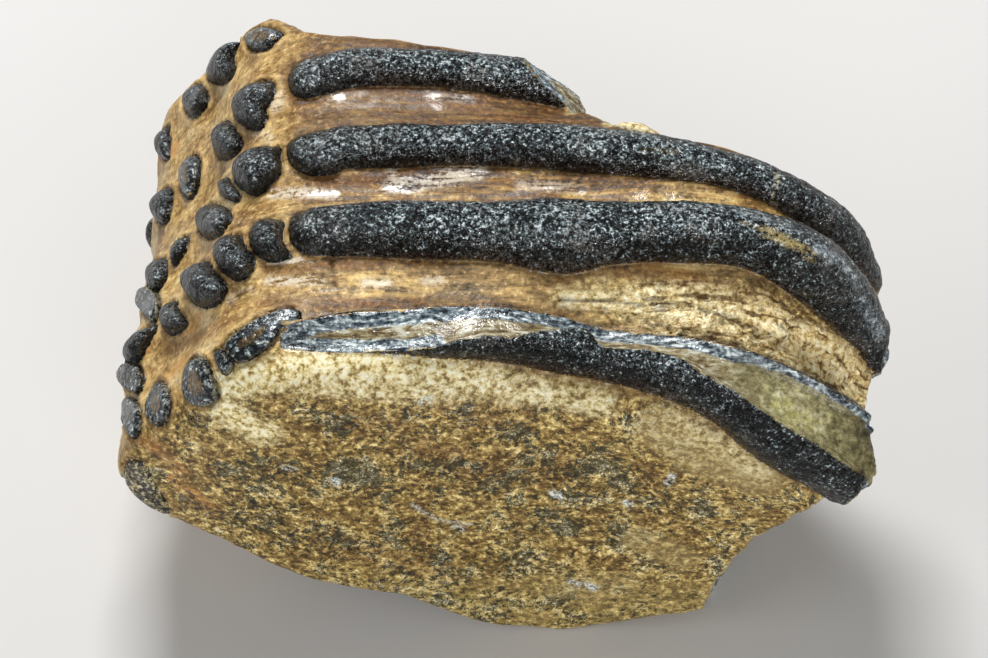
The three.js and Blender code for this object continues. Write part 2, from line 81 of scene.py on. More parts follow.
# the same on the under side
BARS_DOWN = {
  0: [[-52, 56, 19.5, 3.6], [-45, 55, 13.5, 4.2], [-36, 53.5, 9.6, 4.6], [-24, 51, 6.2, 4.8], [-12, 48.5, 4.6, 4.8]],
  1: [[-53, 39.6, 17.0, 3.6], [-44, 39.5, 11.6, 4.6], [-32, 39.5, 7.4, 5.0], [-20, 39.5, 4.7, 5.2], [-6, 39.2, 3.9, 5.4], [8, 38.5, 3.9, 5.6], [24, 37, 3.9, 5.4]],
  2: [[-52, 20.2, 16.0, 3.6], [-43, 20, 10.6, 4.8], [-31, 20, 6.6, 5.2], [-19, 20, 4.4, 5.4], [-4, 19.8, 3.7, 5.6], [14, 19.4, 3.7, 5.8], [32, 18.5, 3.7, 5.6], [46, 17.5, 3.7, 5.2]],
  3: [[-50, 0.7, 14.8, 3.6], [-42, 0.5, 10.0, 4.8], [-30, 0.5, 6.2, 5.4], [-18, 0.5, 4.4, 5.6], [-4, 0.3, 3.7, 5.8], [14, -0.2, 3.7, 6.0], [32, -1, 3.7, 5.8], [44, -2, 3.7, 5.2]],
  4: [[-36, -17.4, 13.2, 3.2], [-26, -18, 9.2, 4.4], [-14, -18.8, 6.2, 5.0], [0, -19.2, 4.2, 5.4], [14, -19.8, 3.7, 5.6], [30, -20.6, 3.7, 5.4], [42, -21.2, 3.7, 4.8]],
}
# beads of the under side: x, y, z, radius, long, turn
BEADS_DOWN = [
  [-63.0, 57.0, 28.0, 3.6, 1.1, 105], [-58.6, 56.8, 22.4, 3.2, 1.1, 125],
  [-64.6, 40.2, 29.0, 3.7, 1.1, 105], [-60.4, 40.0, 21.6, 3.5, 1.1, 125],
  [-63.0, 20.4, 23.6, 3.4, 1.1, 115], [-57.6, 20.2, 17.8, 3.0, 1.1, 135],
  [-64.2, 1.0, 26.6, 3.6, 1.1, 110], [-57.8, 0.8, 19.2, 3.6, 1.1, 130],
  [-64.2, -14.2, 33.0, 3.6, 1.1, 95],
]
# the break across the root end: how far +X at each height
ROOT_BREAK = [[-10, 35.5], [0, 36.5], [6, 38.2], [15, 40.6], [24, 43.5], [33, 47.8], [42, 53.8], [50, 60.4], [56, 63.2], [62, 63.4], [67, 62.6], [72, 62.4], [84, 65.0]]
# the broken back: how far +Y along X
BACK_BREAK = [[-80, 64.5], [-52, 63], [-42, 61.5], [-35, 54], [-28, 50.8], [-12, 47.6], [6, 46], [13, 44.5], [16.5, 34], [21, 28.5], [29, 25.0], [36, 23.6], [45, 22.0], [54, 20.2], [61, 18.4], [75, 15.6]]
# worn strip of the front plate: x, rear y, z, front y, z
WORN = [
  [-35, -17.6, 74.0, -21.0, 72.2], [-31, -16.6, 74.6, -21.6, 72.4], [-27.7, -16.2, 75.0, -22.2, 72.9],
  [-22.6, -15.9, 75.4, -22.5, 73.2], [-16, -15.8, 75.7, -22.7, 73.5], [-10.7, -15.4, 76.0, -22.6, 74.8],
  [-5.7, -15.1, 76.0, -21.6, 76.1], [-2.3, -15.0, 75.9, -21.2, 76.6], [3, -15.1, 75.3, -21.0, 75.9],
  [7, -15.2, 74.5, -19.4, 75.3], [12, -15.4, 73.2, -17.9, 73.6], [15.4, -16.0, 72.3, -16.9, 72.5],
  [18.5, -16.7, 71.6, -20.6, 72.2], [24, -17.1, 71.1, -21.1, 72.4], [29, -17.8, 71.2, -22.4, 72.8],
  [31.7, -18.3, 71.7, -23.6, 73.2], [35.6, -19.5, 72.2, -27.2, 73.1], [40.6, -21.2, 72.2, -29.8, 71.9],
  [43.8, -21.6, 71.6, -31.5, 70.1], [48.8, -22.2, 69.8, -34.0, 67.5], [54.1, -24.0, 67.6, -36.0, 64.9],
  [59.4, -25.6, 65.2, -37.6, 60.9], [70, -28.6, 58.0, -39.6, 52.0],
]
# Digits and bar heads: name, centre on the cement, axis, outline along the row and
# across it (mm), height over the cement, and kind: 0 domed, 1 worn flat to a ring,
# 2 broken top, 3 olive heart, 4 low and granular, 5 the head of a bar.
DIGITS = [
    ("r0a", (-42.8, 54.1, 68.8), (-0.30, -0.36, 0.88), [(-5.5, 3.5), (-3.8, 3.9), (-1.2, 3.7), (1.9, 1.9), (5.0, -0.9), (3.1, -1.8), (2.3, -3.7), (-1.3, -2.4), (-4.3, 0.6)], 2.0, 2),
    ("r0b", (-50.5, 57.5, 58.4), (-0.41, -0.44, 0.80), [(4.8, 3.1), (-0.3, 5.2), (-4.8, 4.3), (-8.7, 2.3), (-5.9, -0.6), (-1.4, -3.7), (2.9, -4.9), (3.2, -3.2), (2.1, -0.2), (2.9, 2.0)], 3.0, 0),
    ("r0c", (-56.8, 56.2, 49.5), (-0.33, -0.42, 0.84), [(-0.6, 5.0), (1.4, 2.9), (3.3, -0.6), (2.5, -2.2), (1.2, -3.0), (-0.8, -3.6), (-3.0, -1.4), (-5.3, 1.8), (-4.5, 4.1)], 2.7, 0),
    ("r0d", (-63.2, 53.8, 40.4), (-0.42, -0.44, 0.80), [(0.5, 4.5), (0.1, 2.0), (1.6, -1.6), (1.5, -5.2), (-1.6, -2.9), (-6.7, 1.9), (-4.7, 4.5)], 2.2, 0),
    ("r1a", (-43.1, 36.0, 70.2), (-0.27, -0.44, 0.86), [(-6.7, 2.2), (-6.3, 3.9), (-4.4, 4.7), (-2.2, 5.1), (-0.1, 5.3), (2.5, 4.8), (3.8, 3.9), (3.9, 1.6), (2.8, -0.5), (1.8, -1.2), (2.3, -2.8), (2.2, -4.7), (1.0, -5.7), (-1.1, -4.4), (-3.5, -2.3), (-5.9, 0.3)], 3.5, 0),
    ("r1b", (-48.3, 34.3, 62.5), (-0.41, -0.49, 0.77), [(-1.9, 5.8), (0.8, 3.4), (2.0, 1.2), (4.2, -1.9), (4.3, -3.7), (2.1, -4.1), (-2.1, -3.0), (-5.0, -0.8), (-6.2, 2.7), (-5.1, 4.9)], 3.0, 0),
    ("r1c", (-56.7, 36.8, 49.7), (-0.35, -0.43, 0.83), [(1.0, 5.0), (2.4, 2.2), (2.7, -1.6), (1.7, -3.7), (0.1, -4.9), (-2.3, -3.1), (-3.9, 1.2), (-3.8, 3.6), (-2.3, 4.9)], 2.3, 3),
    ("r1d", (-62.0, 35.8, 42.8), (-0.38, -0.45, 0.81), [(1.2, 4.2), (2.1, 1.2), (1.6, -1.8), (0.4, -4.6), (-4.0, -1.6), (-7.0, 2.1), (-4.9, 4.8)], 2.6, 0),
    ("r2a", (-41.6, 18.4, 72.2), (-0.19, -0.40, 0.89), [(-6.4, 2.9), (-5.8, 4.5), (-3.0, 5.3), (0.5, 5.2), (4.3, 4.3), (3.7, 2.5), (4.4, -0.1), (3.9, -2.1), (1.9, -3.3), (0.9, -4.9), (-1.5, -4.3), (-3.9, -2.0), (-5.8, 0.6)], 3.8, 0),
    ("r2b", (-47.2, 19.2, 66.3), (-0.38, -0.42, 0.82), [(-4.5, 3.0), (-3.4, 4.1), (-1.2, 3.8), (0.5, 0.8), (2.4, -1.4), (3.8, -3.4), (2.3, -3.7), (-1.1, -0.8), (-3.7, 1.5)], 1.8, 0),
    ("r2c", (-49.7, 14.9, 62.6), (-0.42, -0.43, 0.80), [(-2.1, 5.2), (1.8, 2.4), (5.2, -0.4), (5.8, -2.5), (4.6, -3.5), (4.1, -4.9), (1.0, -4.1), (-3.3, -1.9), (-6.2, 0.9), (-7.5, 3.5), (-7.2, 5.3), (-5.7, 6.3)], 3.1, 0),
    ("r2d", (-57.4, 18.0, 50.5), (-0.37, -0.40, 0.84), [(2.2, 2.7), (2.5, 0.7), (1.4, -1.5), (0.1, -2.4), (-1.1, -2.8), (-3.1, -0.3), (-3.0, 2.1), (-1.2, 3.4)], 2.3, 0),
    ("r2e", (-61.6, 16.5, 45.6), (-0.37, -0.41, 0.83), [(1.4, 3.6), (2.5, 0.7), (2.1, -2.4), (0.4, -4.0), (-3.4, -1.6), (-5.3, 2.0), (-4.0, 4.8)], 2.6, 0),
    ("r2f", (-62.1, 8.9, 46.5), (-0.39, -0.29, 0.87), [(-7.7, 8.2), (-2.9, 5.7), (0.1, 2.6), (3.7, -2.0), (3.8, -5.1), (2.6, -6.6), (0.5, -3.9), (-9.4, 6.1)], 1.6, 1),
    ("r3a", (-38.3, 0.5, 74.4), (-0.12, -0.40, 0.91), [(-4.4, 1.7), (-4.0, 3.8), (-2.3, 4.9), (0.2, 4.7), (2.2, 3.7), (1.5, 2.1), (1.7, -0.3), (2.7, -2.3), (3.8, -3.4), (2.4, -3.9), (-0.1, -4.1), (-2.3, -2.6), (-3.7, -0.5)], 3.6, 0),
    ("r3b", (-44.4, -1.0, 71.9), (-0.21, -0.43, 0.88), [(0.6, 4.3), (-1.5, 5.1), (-4.0, 5.0), (-5.4, 3.3), (-5.0, 0.9), (-2.8, -2.1), (-0.5, -4.1), (1.0, -4.6), (2.5, -3.8), (3.5, -2.2), (3.0, -0.1), (1.4, 1.5), (0.9, 3.0)], 3.6, 0),
    ("r3c", (-50.0, -2.1, 65.8), (-0.36, -0.46, 0.81), [(0.0, 4.8), (-4.4, 5.9), (-7.5, 5.0), (-7.6, 3.2), (-6.8, 1.1), (-4.3, -1.8), (-0.2, -4.5), (3.0, -4.9), (5.1, -3.5), (4.7, -1.2), (2.1, 1.5), (0.7, 3.6)], 3.8, 0),
    ("r3d", (-56.3, -2.3, 56.4), (-0.38, -0.47, 0.80), [(-0.8, 4.3), (-3.4, 4.2), (-4.9, 1.6), (-3.5, -0.7), (-1.3, -2.7), (1.6, -3.0), (4.0, -2.3), (2.0, -0.3), (0.5, 2.0)], 2.6, 0),
    ("r3e", (-63.0, -1.5, 48.1), (-0.34, -0.44, 0.83), [(4.2, 2.7), (2.7, 0.8), (1.3, -0.1), (0.0, -2.4), (-1.9, -3.2), (-7.0, -0.7), (-5.4, 1.6), (-3.0, 3.0), (1.4, 3.0)], 3.0, 0),
    ("r3f", (-64.5, -6.1, 44.3), (-0.40, -0.52, 0.76), [(-4.2, 4.1), (1.0, 2.4), (3.2, -0.3), (3.5, -2.7), (2.5, -4.0), (-1.6, -1.9), (-5.7, 1.0), (-8.6, 3.7)], 1.6, 1),
    ("r4a", (-38.9, -18.4, 72.9), (-0.08, -0.45, 0.89), [(-7.1, -1.5), (-5.9, -0.1), (-3.8, 1.3), (-1.3, 2.9), (1.4, 3.9), (3.3, 4.4), (5.3, 4.2), (6.2, 3.0), (5.6, 1.4), (3.6, 1.2), (2.6, 0.1), (1.8, -1.6), (-0.2, -3.3), (-2.9, -4.6), (-4.7, -4.6), (-6.3, -3.3)], 1.2, 1),
    ("r4b", (-45.7, -21.0, 68.7), (-0.27, -0.57, 0.78), [(-1.9, 2.0), (-0.2, 2.0), (1.2, 0.4), (2.2, -0.9), (0.0, -2.6), (-1.0, -1.2), (-1.7, 0.6)], 1.1, 1),
    ("r4c", (-49.9, -21.4, 63.5), (-0.31, -0.60, 0.74), [(-0.2, 4.3), (2.1, 2.9), (2.8, 0.4), (3.2, -2.8), (1.9, -4.3), (-1.1, -4.3), (-4.0, -3.0), (-4.7, 0.3), (-3.7, 3.2), (-2.0, 4.3)], 1.2, 1),
    ("r4d", (-58.1, -19.2, 53.9), (-0.36, -0.49, 0.79), [(-0.9, 5.1), (2.2, 2.4), (3.2, 0.1), (2.4, -2.6), (0.6, -3.7), (-1.3, -3.7), (-2.8, -2.7), (-4.3, 0.4), (-3.7, 2.8), (-2.5, 4.8)], 1.0, 1),
    ("r4e", (-63.3, -17.0, 47.3), (-0.38, -0.41, 0.82), [(-5.8, 6.7), (0.8, 2.5), (2.3, -1.3), (2.0, -3.6), (-0.4, -4.6), (-2.0, -1.7), (-5.5, 1.7), (-7.8, 5.4)], 1.2, 1),
    ("r4f", (-62.6, -23.4, 35.1), (-0.13, -0.84, 0.53), [(-1.6, 5.0), (0.5, 6.8), (2.5, 5.9), (2.5, 3.0), (2.7, -1.6), (3.0, -6.0), (1.2, -7.6), (-0.9, -5.4), (-3.4, -2.8), (-3.9, -0.6), (-3.1, 2.4)], 0.6, 4),
    ("b1", (-32.5, 38.7, 74.8), (-0.06, -0.40, 0.92), [(-4.9, -0.5), (-4.8, 2.1), (-3.5, 3.9), (-0.6, 4.9), (2.7, 5.2), (5.1, 3.9), (5.0, -0.0), (3.5, -1.9), (2.1, -3.1), (0.4, -4.1), (-2.0, -4.4), (-3.8, -3.3)], 2.9, 5),
    ("b2", (-31.5, 19.2, 75.8), (-0.09, -0.40, 0.91), [(-5.4, 1.5), (-4.9, 3.5), (-3.1, 4.7), (0.1, 5.1), (3.7, 5.3), (5.2, 2.6), (5.2, -2.6), (4.5, -3.8), (1.9, -4.4), (-1.2, -4.1), (-3.1, -2.9), (-4.6, -1.1)], 3.0, 5),
    ("b3", (-30.9, 0.9, 76.1), (-0.06, -0.39, 0.92), [(-4.7, 1.9), (-4.4, 4.1), (-2.7, 5.1), (0.7, 5.4), (3.8, 5.4), (5.2, 1.3), (4.9, -4.9), (2.9, -4.7), (1.5, -3.9), (-1.6, -3.4), (-3.2, -2.1), (-4.2, -0.2)], 3.2, 5),
]
# Marks on the surface: paths through points of the tooth frame, width in mm, strength.
BROWN = [
    ([(-30.9, 13.6, 75.5), (-25.2, 13.0, 75.8), (-19.1, 13.9, 75.9), (-12.1, 15.4, 76.1)], 2.0, 1.0),
    ([(-28.1, 35.5, 76.3), (-22.4, 35.7, 75.6), (-15.2, 35.8, 75.5)], 1.8, 0.8),
    ([(-13.3, 33.1, 75.3), (-2.5, 30.4, 74.9), (6.4, 28.2, 75.3), (14.3, 23.6, 78.8)], 2.2, 0.8),
    ([(-39.3, -4.6, 74.1), (-33.2, -5.7, 75.2), (-27.2, -5.7, 76.1), (-19.5, -6.2, 76.1)], 1.6, 1.0),
    ([(-39.6, -11.6, 72.8), (-33.0, -12.9, 74.3), (-24.4, -13.3, 74.9), (-12.6, -12.8, 74.2)], 1.6, 1.0),
    ([(-58.8, -6.2, 52.0), (-54.3, -8.4, 57.7), (-48.9, -13.0, 66.4), (-43.3, -14.1, 71.7)], 1.8, 1.0),
    ([(-49.2, 34.3, 65.8), (-55.9, 46.7, 50.8), (-56.4, 42.9, 50.7)], 1.6, 0.6),
    ([(-39.4, 13.2, 73.5), (-34.0, 11.4, 74.8), (-28.7, 11.5, 75.4)], 1.4, 0.6),
    ([(-65.6, 36.2, 39.7), (-63.3, 30.2, 39.4), (-63.9, 20.3, 44.9)], 2.0, 0.6),
    ([(-49.5, 3.6, 67.2), (-52.3, 6.4, 61.9)], 1.5, 0.6),
    ([(11.3, -7.8, 74.3), (18.1, -5.9, 75.1), (25.0, -7.1, 74.7), (35.2, -9.2, 73.3), (45.6, -9.3, 71.2)], 1.6, 0.6),
    ([(1.1, 13.3, 75.6), (11.6, 11.8, 75.2)], 1.5, 0.6),
    ([(-26.2, -28.3, 61.8), (-17.7, -28.4, 60.4), (-9.2, -28.2, 63.0), (4.4, -28.2, 61.6)], 5.0, 0.55),
    ([(-11.0, -28.8, 53.7), (1.0, -29.4, 48.6), (11.4, -29.6, 48.8)], 7.0, 0.5),
    ([(-29.4, -30.1, 27.7), (-18.8, -30.5, 21.8), (-8.0, -30.6, 18.7)], 5.0, 0.45),
]
DARK = [
    ([(-42.5, -27.9, 47.9), (-33.8, -28.8, 46.1), (-25.1, -28.8, 47.7), (-20.0, -29.2, 42.1)], 6.0, 1.0),
    ([(-40.9, -28.7, 32.0), (-33.1, -30.0, 26.0), (-27.7, -30.3, 24.8)], 5.0, 0.8),
    ([(-12.9, -29.1, 48.1), (-4.2, -29.6, 45.8), (4.5, -29.4, 48.5), (14.1, -30.0, 46.3)], 7.0, 0.8),
    ([(-2.4, -28.7, 56.5), (4.5, -28.6, 57.6)], 4.0, 0.7),
    ([(18.3, -30.2, 49.7), (25.3, -31.0, 47.8), (29.0, -31.5, 42.4)], 5.0, 0.7),
    ([(8.2, -30.0, 34.0), (18.9, -30.9, 32.2)], 6.0, 0.7),
    ([(11.3, -29.2, 55.7), (18.2, -30.0, 55.4)], 4.0, 0.8),
    ([(-47.6, -27.2, 45.4), (-45.7, -27.7, 40.0), (-44.3, -28.0, 34.9)], 4.5, 0.8),
    ([(-54.3, -25.9, 34.2), (-46.4, -27.7, 29.9), (-36.5, -29.4, 29.3), (-28.6, -30.2, 26.0)], 4.0, 0.8),
    ([(-17.8, -30.1, 27.8), (-8.0, -30.4, 21.7), (4.7, -30.5, 20.2)], 4.0, 0.4),
    ([(-24.5, -28.3, 60.4), (-12.7, -28.6, 56.4)], 4.0, 0.5),
    ([(29.2, -31.5, 39.4), (34.3, -32.1, 41.8)], 3.0, 0.7),
]
CREAM = [
    ([(-46.5, -26.0, 60.9), (-43.0, -27.1, 60.1), (-39.8, -27.7, 57.5)], 5.0, 1.0),
    ([(20.7, 28.2, 75.8), (24.6, 26.2, 76.4), (28.1, 25.2, 75.4)], 2.4, 1.0),
    ([(-32.6, -25.8, 70.3), (-22.5, -25.3, 71.3), (-10.8, -25.1, 69.9), (1.0, -25.6, 68.4)], 4.5, 0.9),
    ([(-45.7, -24.0, 66.0), (-37.7, -25.0, 70.0), (-27.6, -23.9, 72.3), (-15.8, -23.6, 71.9), (-5.7, -24.2, 70.4)], 4.5, 1.0),
    ([(-27.6, -26.2, 70.2), (-15.8, -26.7, 68.7), (-4.0, -25.9, 68.5), (7.8, -25.9, 66.5), (17.9, -27.4, 65.7)], 4.0, 0.8),
    ([(-47.6, -25.8, 61.2), (-44.2, -26.8, 60.3), (-39.8, -27.8, 57.0)], 2.4, 1.0),
    ([(31.4, -31.4, 63.2), (38.2, -32.4, 61.6), (45.4, -33.7, 54.7)], 5.0, 0.4),
    ([(25.0, -10.7, 72.4), (35.2, -11.2, 71.7), (45.7, -13.4, 67.6), (54.8, -13.1, 61.5), (62.7, -13.5, 52.0)], 4.5, 1.0),
    ([(11.3, -10.4, 72.9), (18.1, -10.8, 72.5), (26.7, -11.4, 71.9)], 2.5, 0.7),
    ([(-32.6, -25.1, 71.0), (-22.5, -25.9, 70.5)], 3.0, 0.8),
]
TAN = [
    ([(28.1, -31.1, 62.7), (35.2, -32.4, 55.8), (45.6, -33.8, 51.9)], 7.0, 1.0),
    ([(26.1, -31.6, 29.9), (33.5, -32.1, 24.2)], 6.0, 0.7),
    ([(12.1, -31.3, 13.0), (23.0, -31.7, 15.4)], 6.0, 0.5),
]
ORANGE = [
    ([(-67.9, 56.5, 32.6), (-61.4, 49.1, 43.9)], 3.0, 0.8),
    ([(-62.0, 1.9, 49.4), (-62.5, -3.1, 48.5)], 2.5, 1.0),
    ([(-57.8, -12.8, 54.0), (-53.7, -13.9, 59.7)], 3.0, 0.7),
    ([(-62.1, -22.5, 47.9), (-58.5, -24.3, 47.4), (-55.3, -25.5, 43.0)], 2.6, 0.9),
    ([(-56.5, -25.3, 39.6), (-49.9, -26.9, 32.6)], 2.6, 0.8),
    ([(25.0, -4.8, 75.5), (35.3, -7.7, 74.1)], 2.0, 0.6),
    ([(-55.3, -6.1, 58.2), (-51.3, -7.3, 62.5)], 2.5, 0.5),
]
CHIP = [
    ([(-27.8, -28.9, 44.8), (-27.5, -29.0, 43.7)], 1.0, 1.0),
    ([(10.3, -29.9, 42.2), (11.6, -30.0, 41.1)], 1.1, 1.0),
    ([(23.2, -30.9, 40.9), (24.4, -31.1, 39.3)], 1.0, 1.0),
    ([(17.2, -31.5, 15.0), (18.3, -31.6, 14.1)], 1.1, 1.0),
    ([(14.2, -31.3, 15.7), (15.7, -31.4, 15.2)], 0.8, 1.0),
    ([(-12.3, -27.7, 65.8), (-11.1, -27.4, 66.3)], 0.9, 1.0),
    ([(30.7, -31.7, 50.0), (30.2, -31.6, 47.5)], 0.9, 1.0),
    ([(-36.4, -28.5, 47.9), (-34.6, -28.6, 47.5)], 0.7, 0.8),
    ([(-6.9, -30.0, 32.1), (-5.7, -30.1, 30.9)], 0.9, 0.8),
    ([(-14.5, -29.6, 38.1), (-9.6, -29.9, 33.8), (-4.3, -30.0, 32.7)], 0.6, 0.6),
]
VEIN = [
    ([(49.9, 16.5, 74.3), (50.0, 14.6, 74.1), (48.9, 12.1, 72.6), (49.5, 11.2, 71.0)], 0.5, 1.0),
    ([(33.5, -9.2, 73.2), (34.7, -10.0, 72.7), (36.1, -10.0, 72.1), (37.7, -9.0, 72.7), (38.3, -9.7, 72.3)], 0.5, 1.0),
]
CRACK = [
    ([(-27.9, -4.5, 76.2), (-27.5, -7.8, 75.6), (-26.7, -11.8, 75.0)], 0.35, 1.0),
    ([(11.3, -10.9, 72.7), (18.1, -10.9, 72.4), (25.0, -11.4, 71.9), (31.8, -11.2, 72.2), (38.6, -12.7, 70.8), (47.4, -14.1, 67.1)], 0.5, 1.0),
    ([(19.0, -12.2, 71.6), (19.5, -13.6, 70.6), (20.5, -14.5, 70.1)], 0.4, 0.8),
    ([(61.8, -13.1, 54.3), (61.3, -14.3, 52.7)], 0.5, 1.0),
    ([(25.8, -6.6, 74.9), (26.3, -8.6, 73.7)], 0.4, 0.6),
]
DENT = [
    ([(46.1, -1.8, 80.2), (48.8, -2.5, 79.4), (51.8, -3.5, 78.2), (54.4, -4.5, 76.7)], 1.5, 1.0),
    ([(42.3, -0.7, 81.2), (44.0, -1.2, 80.8), (45.7, -1.7, 80.3)], 0.6, 0.5),
    ([(19.8, -7.8, 74.2), (25.0, -5.9, 75.2), (31.9, -5.8, 75.1)], 0.8, 0.5),
    ([(52.8, -7.6, 68.6), (57.7, -8.9, 64.0), (62.4, -9.4, 57.8)], 0.7, 0.5),
    ([(25.6, 18.2, 78.5), (32.7, 18.1, 78.0)], 0.5, 0.4),
]
BLUE = [
    ([(55.5, -2.7, 77.0), (59.6, -3.5, 73.8), (63.0, -4.6, 69.8)], 1.7, 1.0),
    ([(63.8, -6.9, 66.9), (65.9, -7.2, 63.3), (67.7, -7.5, 59.4)], 1.8, 1.0),
    ([(41.2, 1.4, 81.4), (47.3, 0.7, 80.2), (52.4, -0.7, 78.6)], 0.9, 0.7),
    ([(33.4, -16.1, 69.6), (36.0, -15.4, 70.1), (37.5, -16.4, 69.2)], 1.0, 0.6),
    ([(35.3, 2.7, 81.7), (45.7, 2.7, 79.9)], 0.8, 0.5),
]
# gloss paths: the varnish lies smoother there, and highlights are painted into the colour
GLOSS_AND_PAINTED_HIGHLIGHT = [
    ([(-39.0, 12.5, 73.3), (-34.0, 11.4, 74.8), (-28.1, 10.4, 75.4)], 1.7, 1.0),
    ([(-29.0, 35.5, 76.4), (-27.7, 33.2, 75.4)], 1.4, 1.0),
    ([(-17.9, 12.1, 75.6), (-11.2, 13.4, 75.7), (-2.8, 15.0, 76.0)], 2.4, 1.0),
    ([(-38.5, -3.6, 74.0), (-33.3, -4.7, 75.4)], 1.1, 1.0),
    ([(-38.7, -7.3, 73.4), (-34.0, -8.2, 74.4), (-29.7, -8.7, 75.1)], 1.3, 1.0),
    ([(-22.0, -9.4, 75.4), (-18.2, -9.3, 75.3)], 1.3, 0.9),
    ([(-11.8, -8.5, 74.9), (-8.9, -8.3, 74.9)], 1.2, 0.8),
    ([(-40.6, 37.5, 73.7), (-39.2, 34.1, 72.8)], 2.4, 0.7),
    ([(-42.7, 30.3, 69.8), (-39.7, 25.2, 73.2)], 1.6, 0.5),
    ([(-11.5, 34.0, 75.3), (-4.3, 33.6, 74.7)], 1.6, 0.4),
    ([(4.6, 12.8, 75.6), (15.1, 12.0, 74.9)], 1.6, 0.5),
    ([(-45.5, -8.5, 69.7), (-41.9, -8.6, 72.0)], 1.6, 0.5),
    ([(-18.3, 15.6, 76.1), (-16.5, 11.5, 75.5)], 1.0, 0.8),
]
# ------------------------------------------------------------------ the field
# Signed values in millimetres, negative inside.  x, y, z are flat arrays.
OUT = np.array(OUTLINE)


def smooth(x, a, b):
    t = np.clip((x - a) / (b - a), 0.0, 1.0)
    return t * t * (3 - 2 * t)


def table(rows, x, column=1):
    r = np.asarray(rows, float)
    return np.interp(x, r[:, 0], r[:, column])


def lattice(i, j, k):
    m = np.int64(0xFFFFFFFF)
    h = (i * 374761393 + j * 668265263 + k * 2147483647) & m
    h = ((h ^ (h >> 13)) * 1274126177) & m
    h = ((h ^ (h >> 16)) * 1911520717) & m
    return ((h ^ (h >> 15)) & m) / 2147483648.0 - 1


def noise(x, y, z):
    """Value noise, -1..1, the same as the CAD's."""
    x, y, z = np.broadcast_arrays(np.asarray(x, float), np.asarray(y, float), np.asarray(z, float))
    i, j, k = (np.floor(q).astype(np.int64) for q in (x, y, z))
    u, v, w = ((t * t * (3 - 2 * t)) for t in (x - i, y - j, z - k))
    r = 0.0
    for a in (0, 1):
        wu = u if a else 1 - u
        for b in (0, 1):
            wv = wu * (v if b else 1 - v)
            for c in (0, 1):
                r = r + lattice(i + a, j + b, k + c) * wv * (w if c else 1 - w)
    return r


def fbm(x, y, z, octaves=3, seed=0.0, gain=0.5):
    """Octaves of noise, each turned against the last so no grid shows."""
    total, amp, size = 0.0, 1.0, 0.0
    for n in range(octaves):
        total = total + amp * noise(x + 17.3 * n + seed, y - 9.1 * n + seed * 1.7, z + 5.7 * n - seed)
        size += amp
        amp *= gain
        x, y, z = (1.9 * (0.80 * x + 0.60 * y), 1.9 * (-0.48 * x + 0.64 * y + 0.60 * z),
                   1.9 * (0.36 * x - 0.48 * y + 0.80 * z))
    return total / size


def cells(x, y, z, seed=0):
    """Distances to the nearest and next nearest jittered lattice point, and its id."""
    i, j, k = (np.floor(q).astype(np.int64) for q in (x, y, z))
    d1 = np.full(x.shape, 9.0)
    d2 = np.full(x.shape, 9.0)
    tag = np.zeros(x.shape)
    for a in (-1, 0, 1):
        for b in (-1, 0, 1):
            for c in (-1, 0, 1):
                p, q, s = i + a, j + b, k + c
                h1, h2, h3 = (lattice(p + seed + o, q - o, s + 3 * o) for o in (11, 29, 53))
                d = np.sqrt((p + 0.5 + 0.42 * h1 - x) ** 2 + (q + 0.5 + 0.42 * h2 - y) ** 2
                            + (s + 0.5 + 0.42 * h3 - z) ** 2)
                nearer = d < d1
                d2 = np.where(nearer, d1, np.minimum(d2, d))
                tag = np.where(nearer, h1, tag)
                d1 = np.where(nearer, d, d1)
    return d1, d2, tag


def smax(a, b, k):
    h = np.maximum(k - np.abs(a - b), 0) / k
    return np.maximum(a, b) + h * h * k / 4


def smin(a, b, k):
    return -smax(-a, -b, k)


def outline_radius(th):
    s = (th + 180) / 7.5
    i = np.floor(s).astype(int)
    t = s - i
    a, b, c, d = (OUT[(i + q) % len(OUT)] for q in (-1, 0, 1, 2))
    return b + 0.5 * t * (c - a + t * (2 * a - 5 * b + 4 * c - d + t * (3 * (b - c) + d - a)))


def outline_drop(th, x, y):
    upper = smooth(th, 34, 52) * (1 - smooth(th, 166, 178))
    d = upper * table([[-30, 2.4], [0, 3.0], [12, 6.2], [20, 8.2], [40, 8.2], [60, 8.6]], x) * smooth(-y, 5, 19)
    d = d + upper * table([[-40, 1.6], [-10, .6], [0, 2.6], [12, 5.6], [22, 5.0], [40, 2.0], [60, 1.0]], x) * smooth(y, 27, 38)
    d = d + 1.8 * smooth(y, 44, 58) * smooth(th, 18, 40)
    tip = table([[-14, 0], [-8, .9], [0, 2.0], [8, 3.4], [20, 2.8], [32, 1.8], [46, 0]], th)
    d = d + tip * (smooth(y, 3, 20) + .35 * smooth(y, 22, 40))
    bevel = table([[-110, 0], [-90, 2.5], [-59, 10], [-30, 12.2], [-16, 12.5], [-7, 4.5], [0, 0]], th)
    d = d + bevel * smooth(-y, 8, 27)
    for c, w in ((30.2, 4.2), (10.7, 4.2), (-9.6, 4.6)):
        d = d + 0.9 * np.exp(-((y - c) / w) ** 2)
    return d


def front_face(x, z):
    return (-31.8 + 0.055 * z - 0.0025 * np.maximum(x - 8, 0) * z
            + 7.5 * np.clip((-30 - x) / 36, 0, 1.3) ** 1.5 + 0.5 * noise(x / 26, 3.1, z / 22))


def back_face(x, z):
    s = x - np.maximum(60 - z, 0) * 0.28
    return (table(BACK_BREAK, s) + np.maximum(62 - z, 0) * 0.03
            + 1.1 * noise(x / 15, 7.7, z / 13) + 0.6 * noise(x / 6.5, 1.3, z / 7.5))


def root_break(y, z):
    return table(ROOT_BREAK, z) + 8.0 * smooth(y, -31, -13)


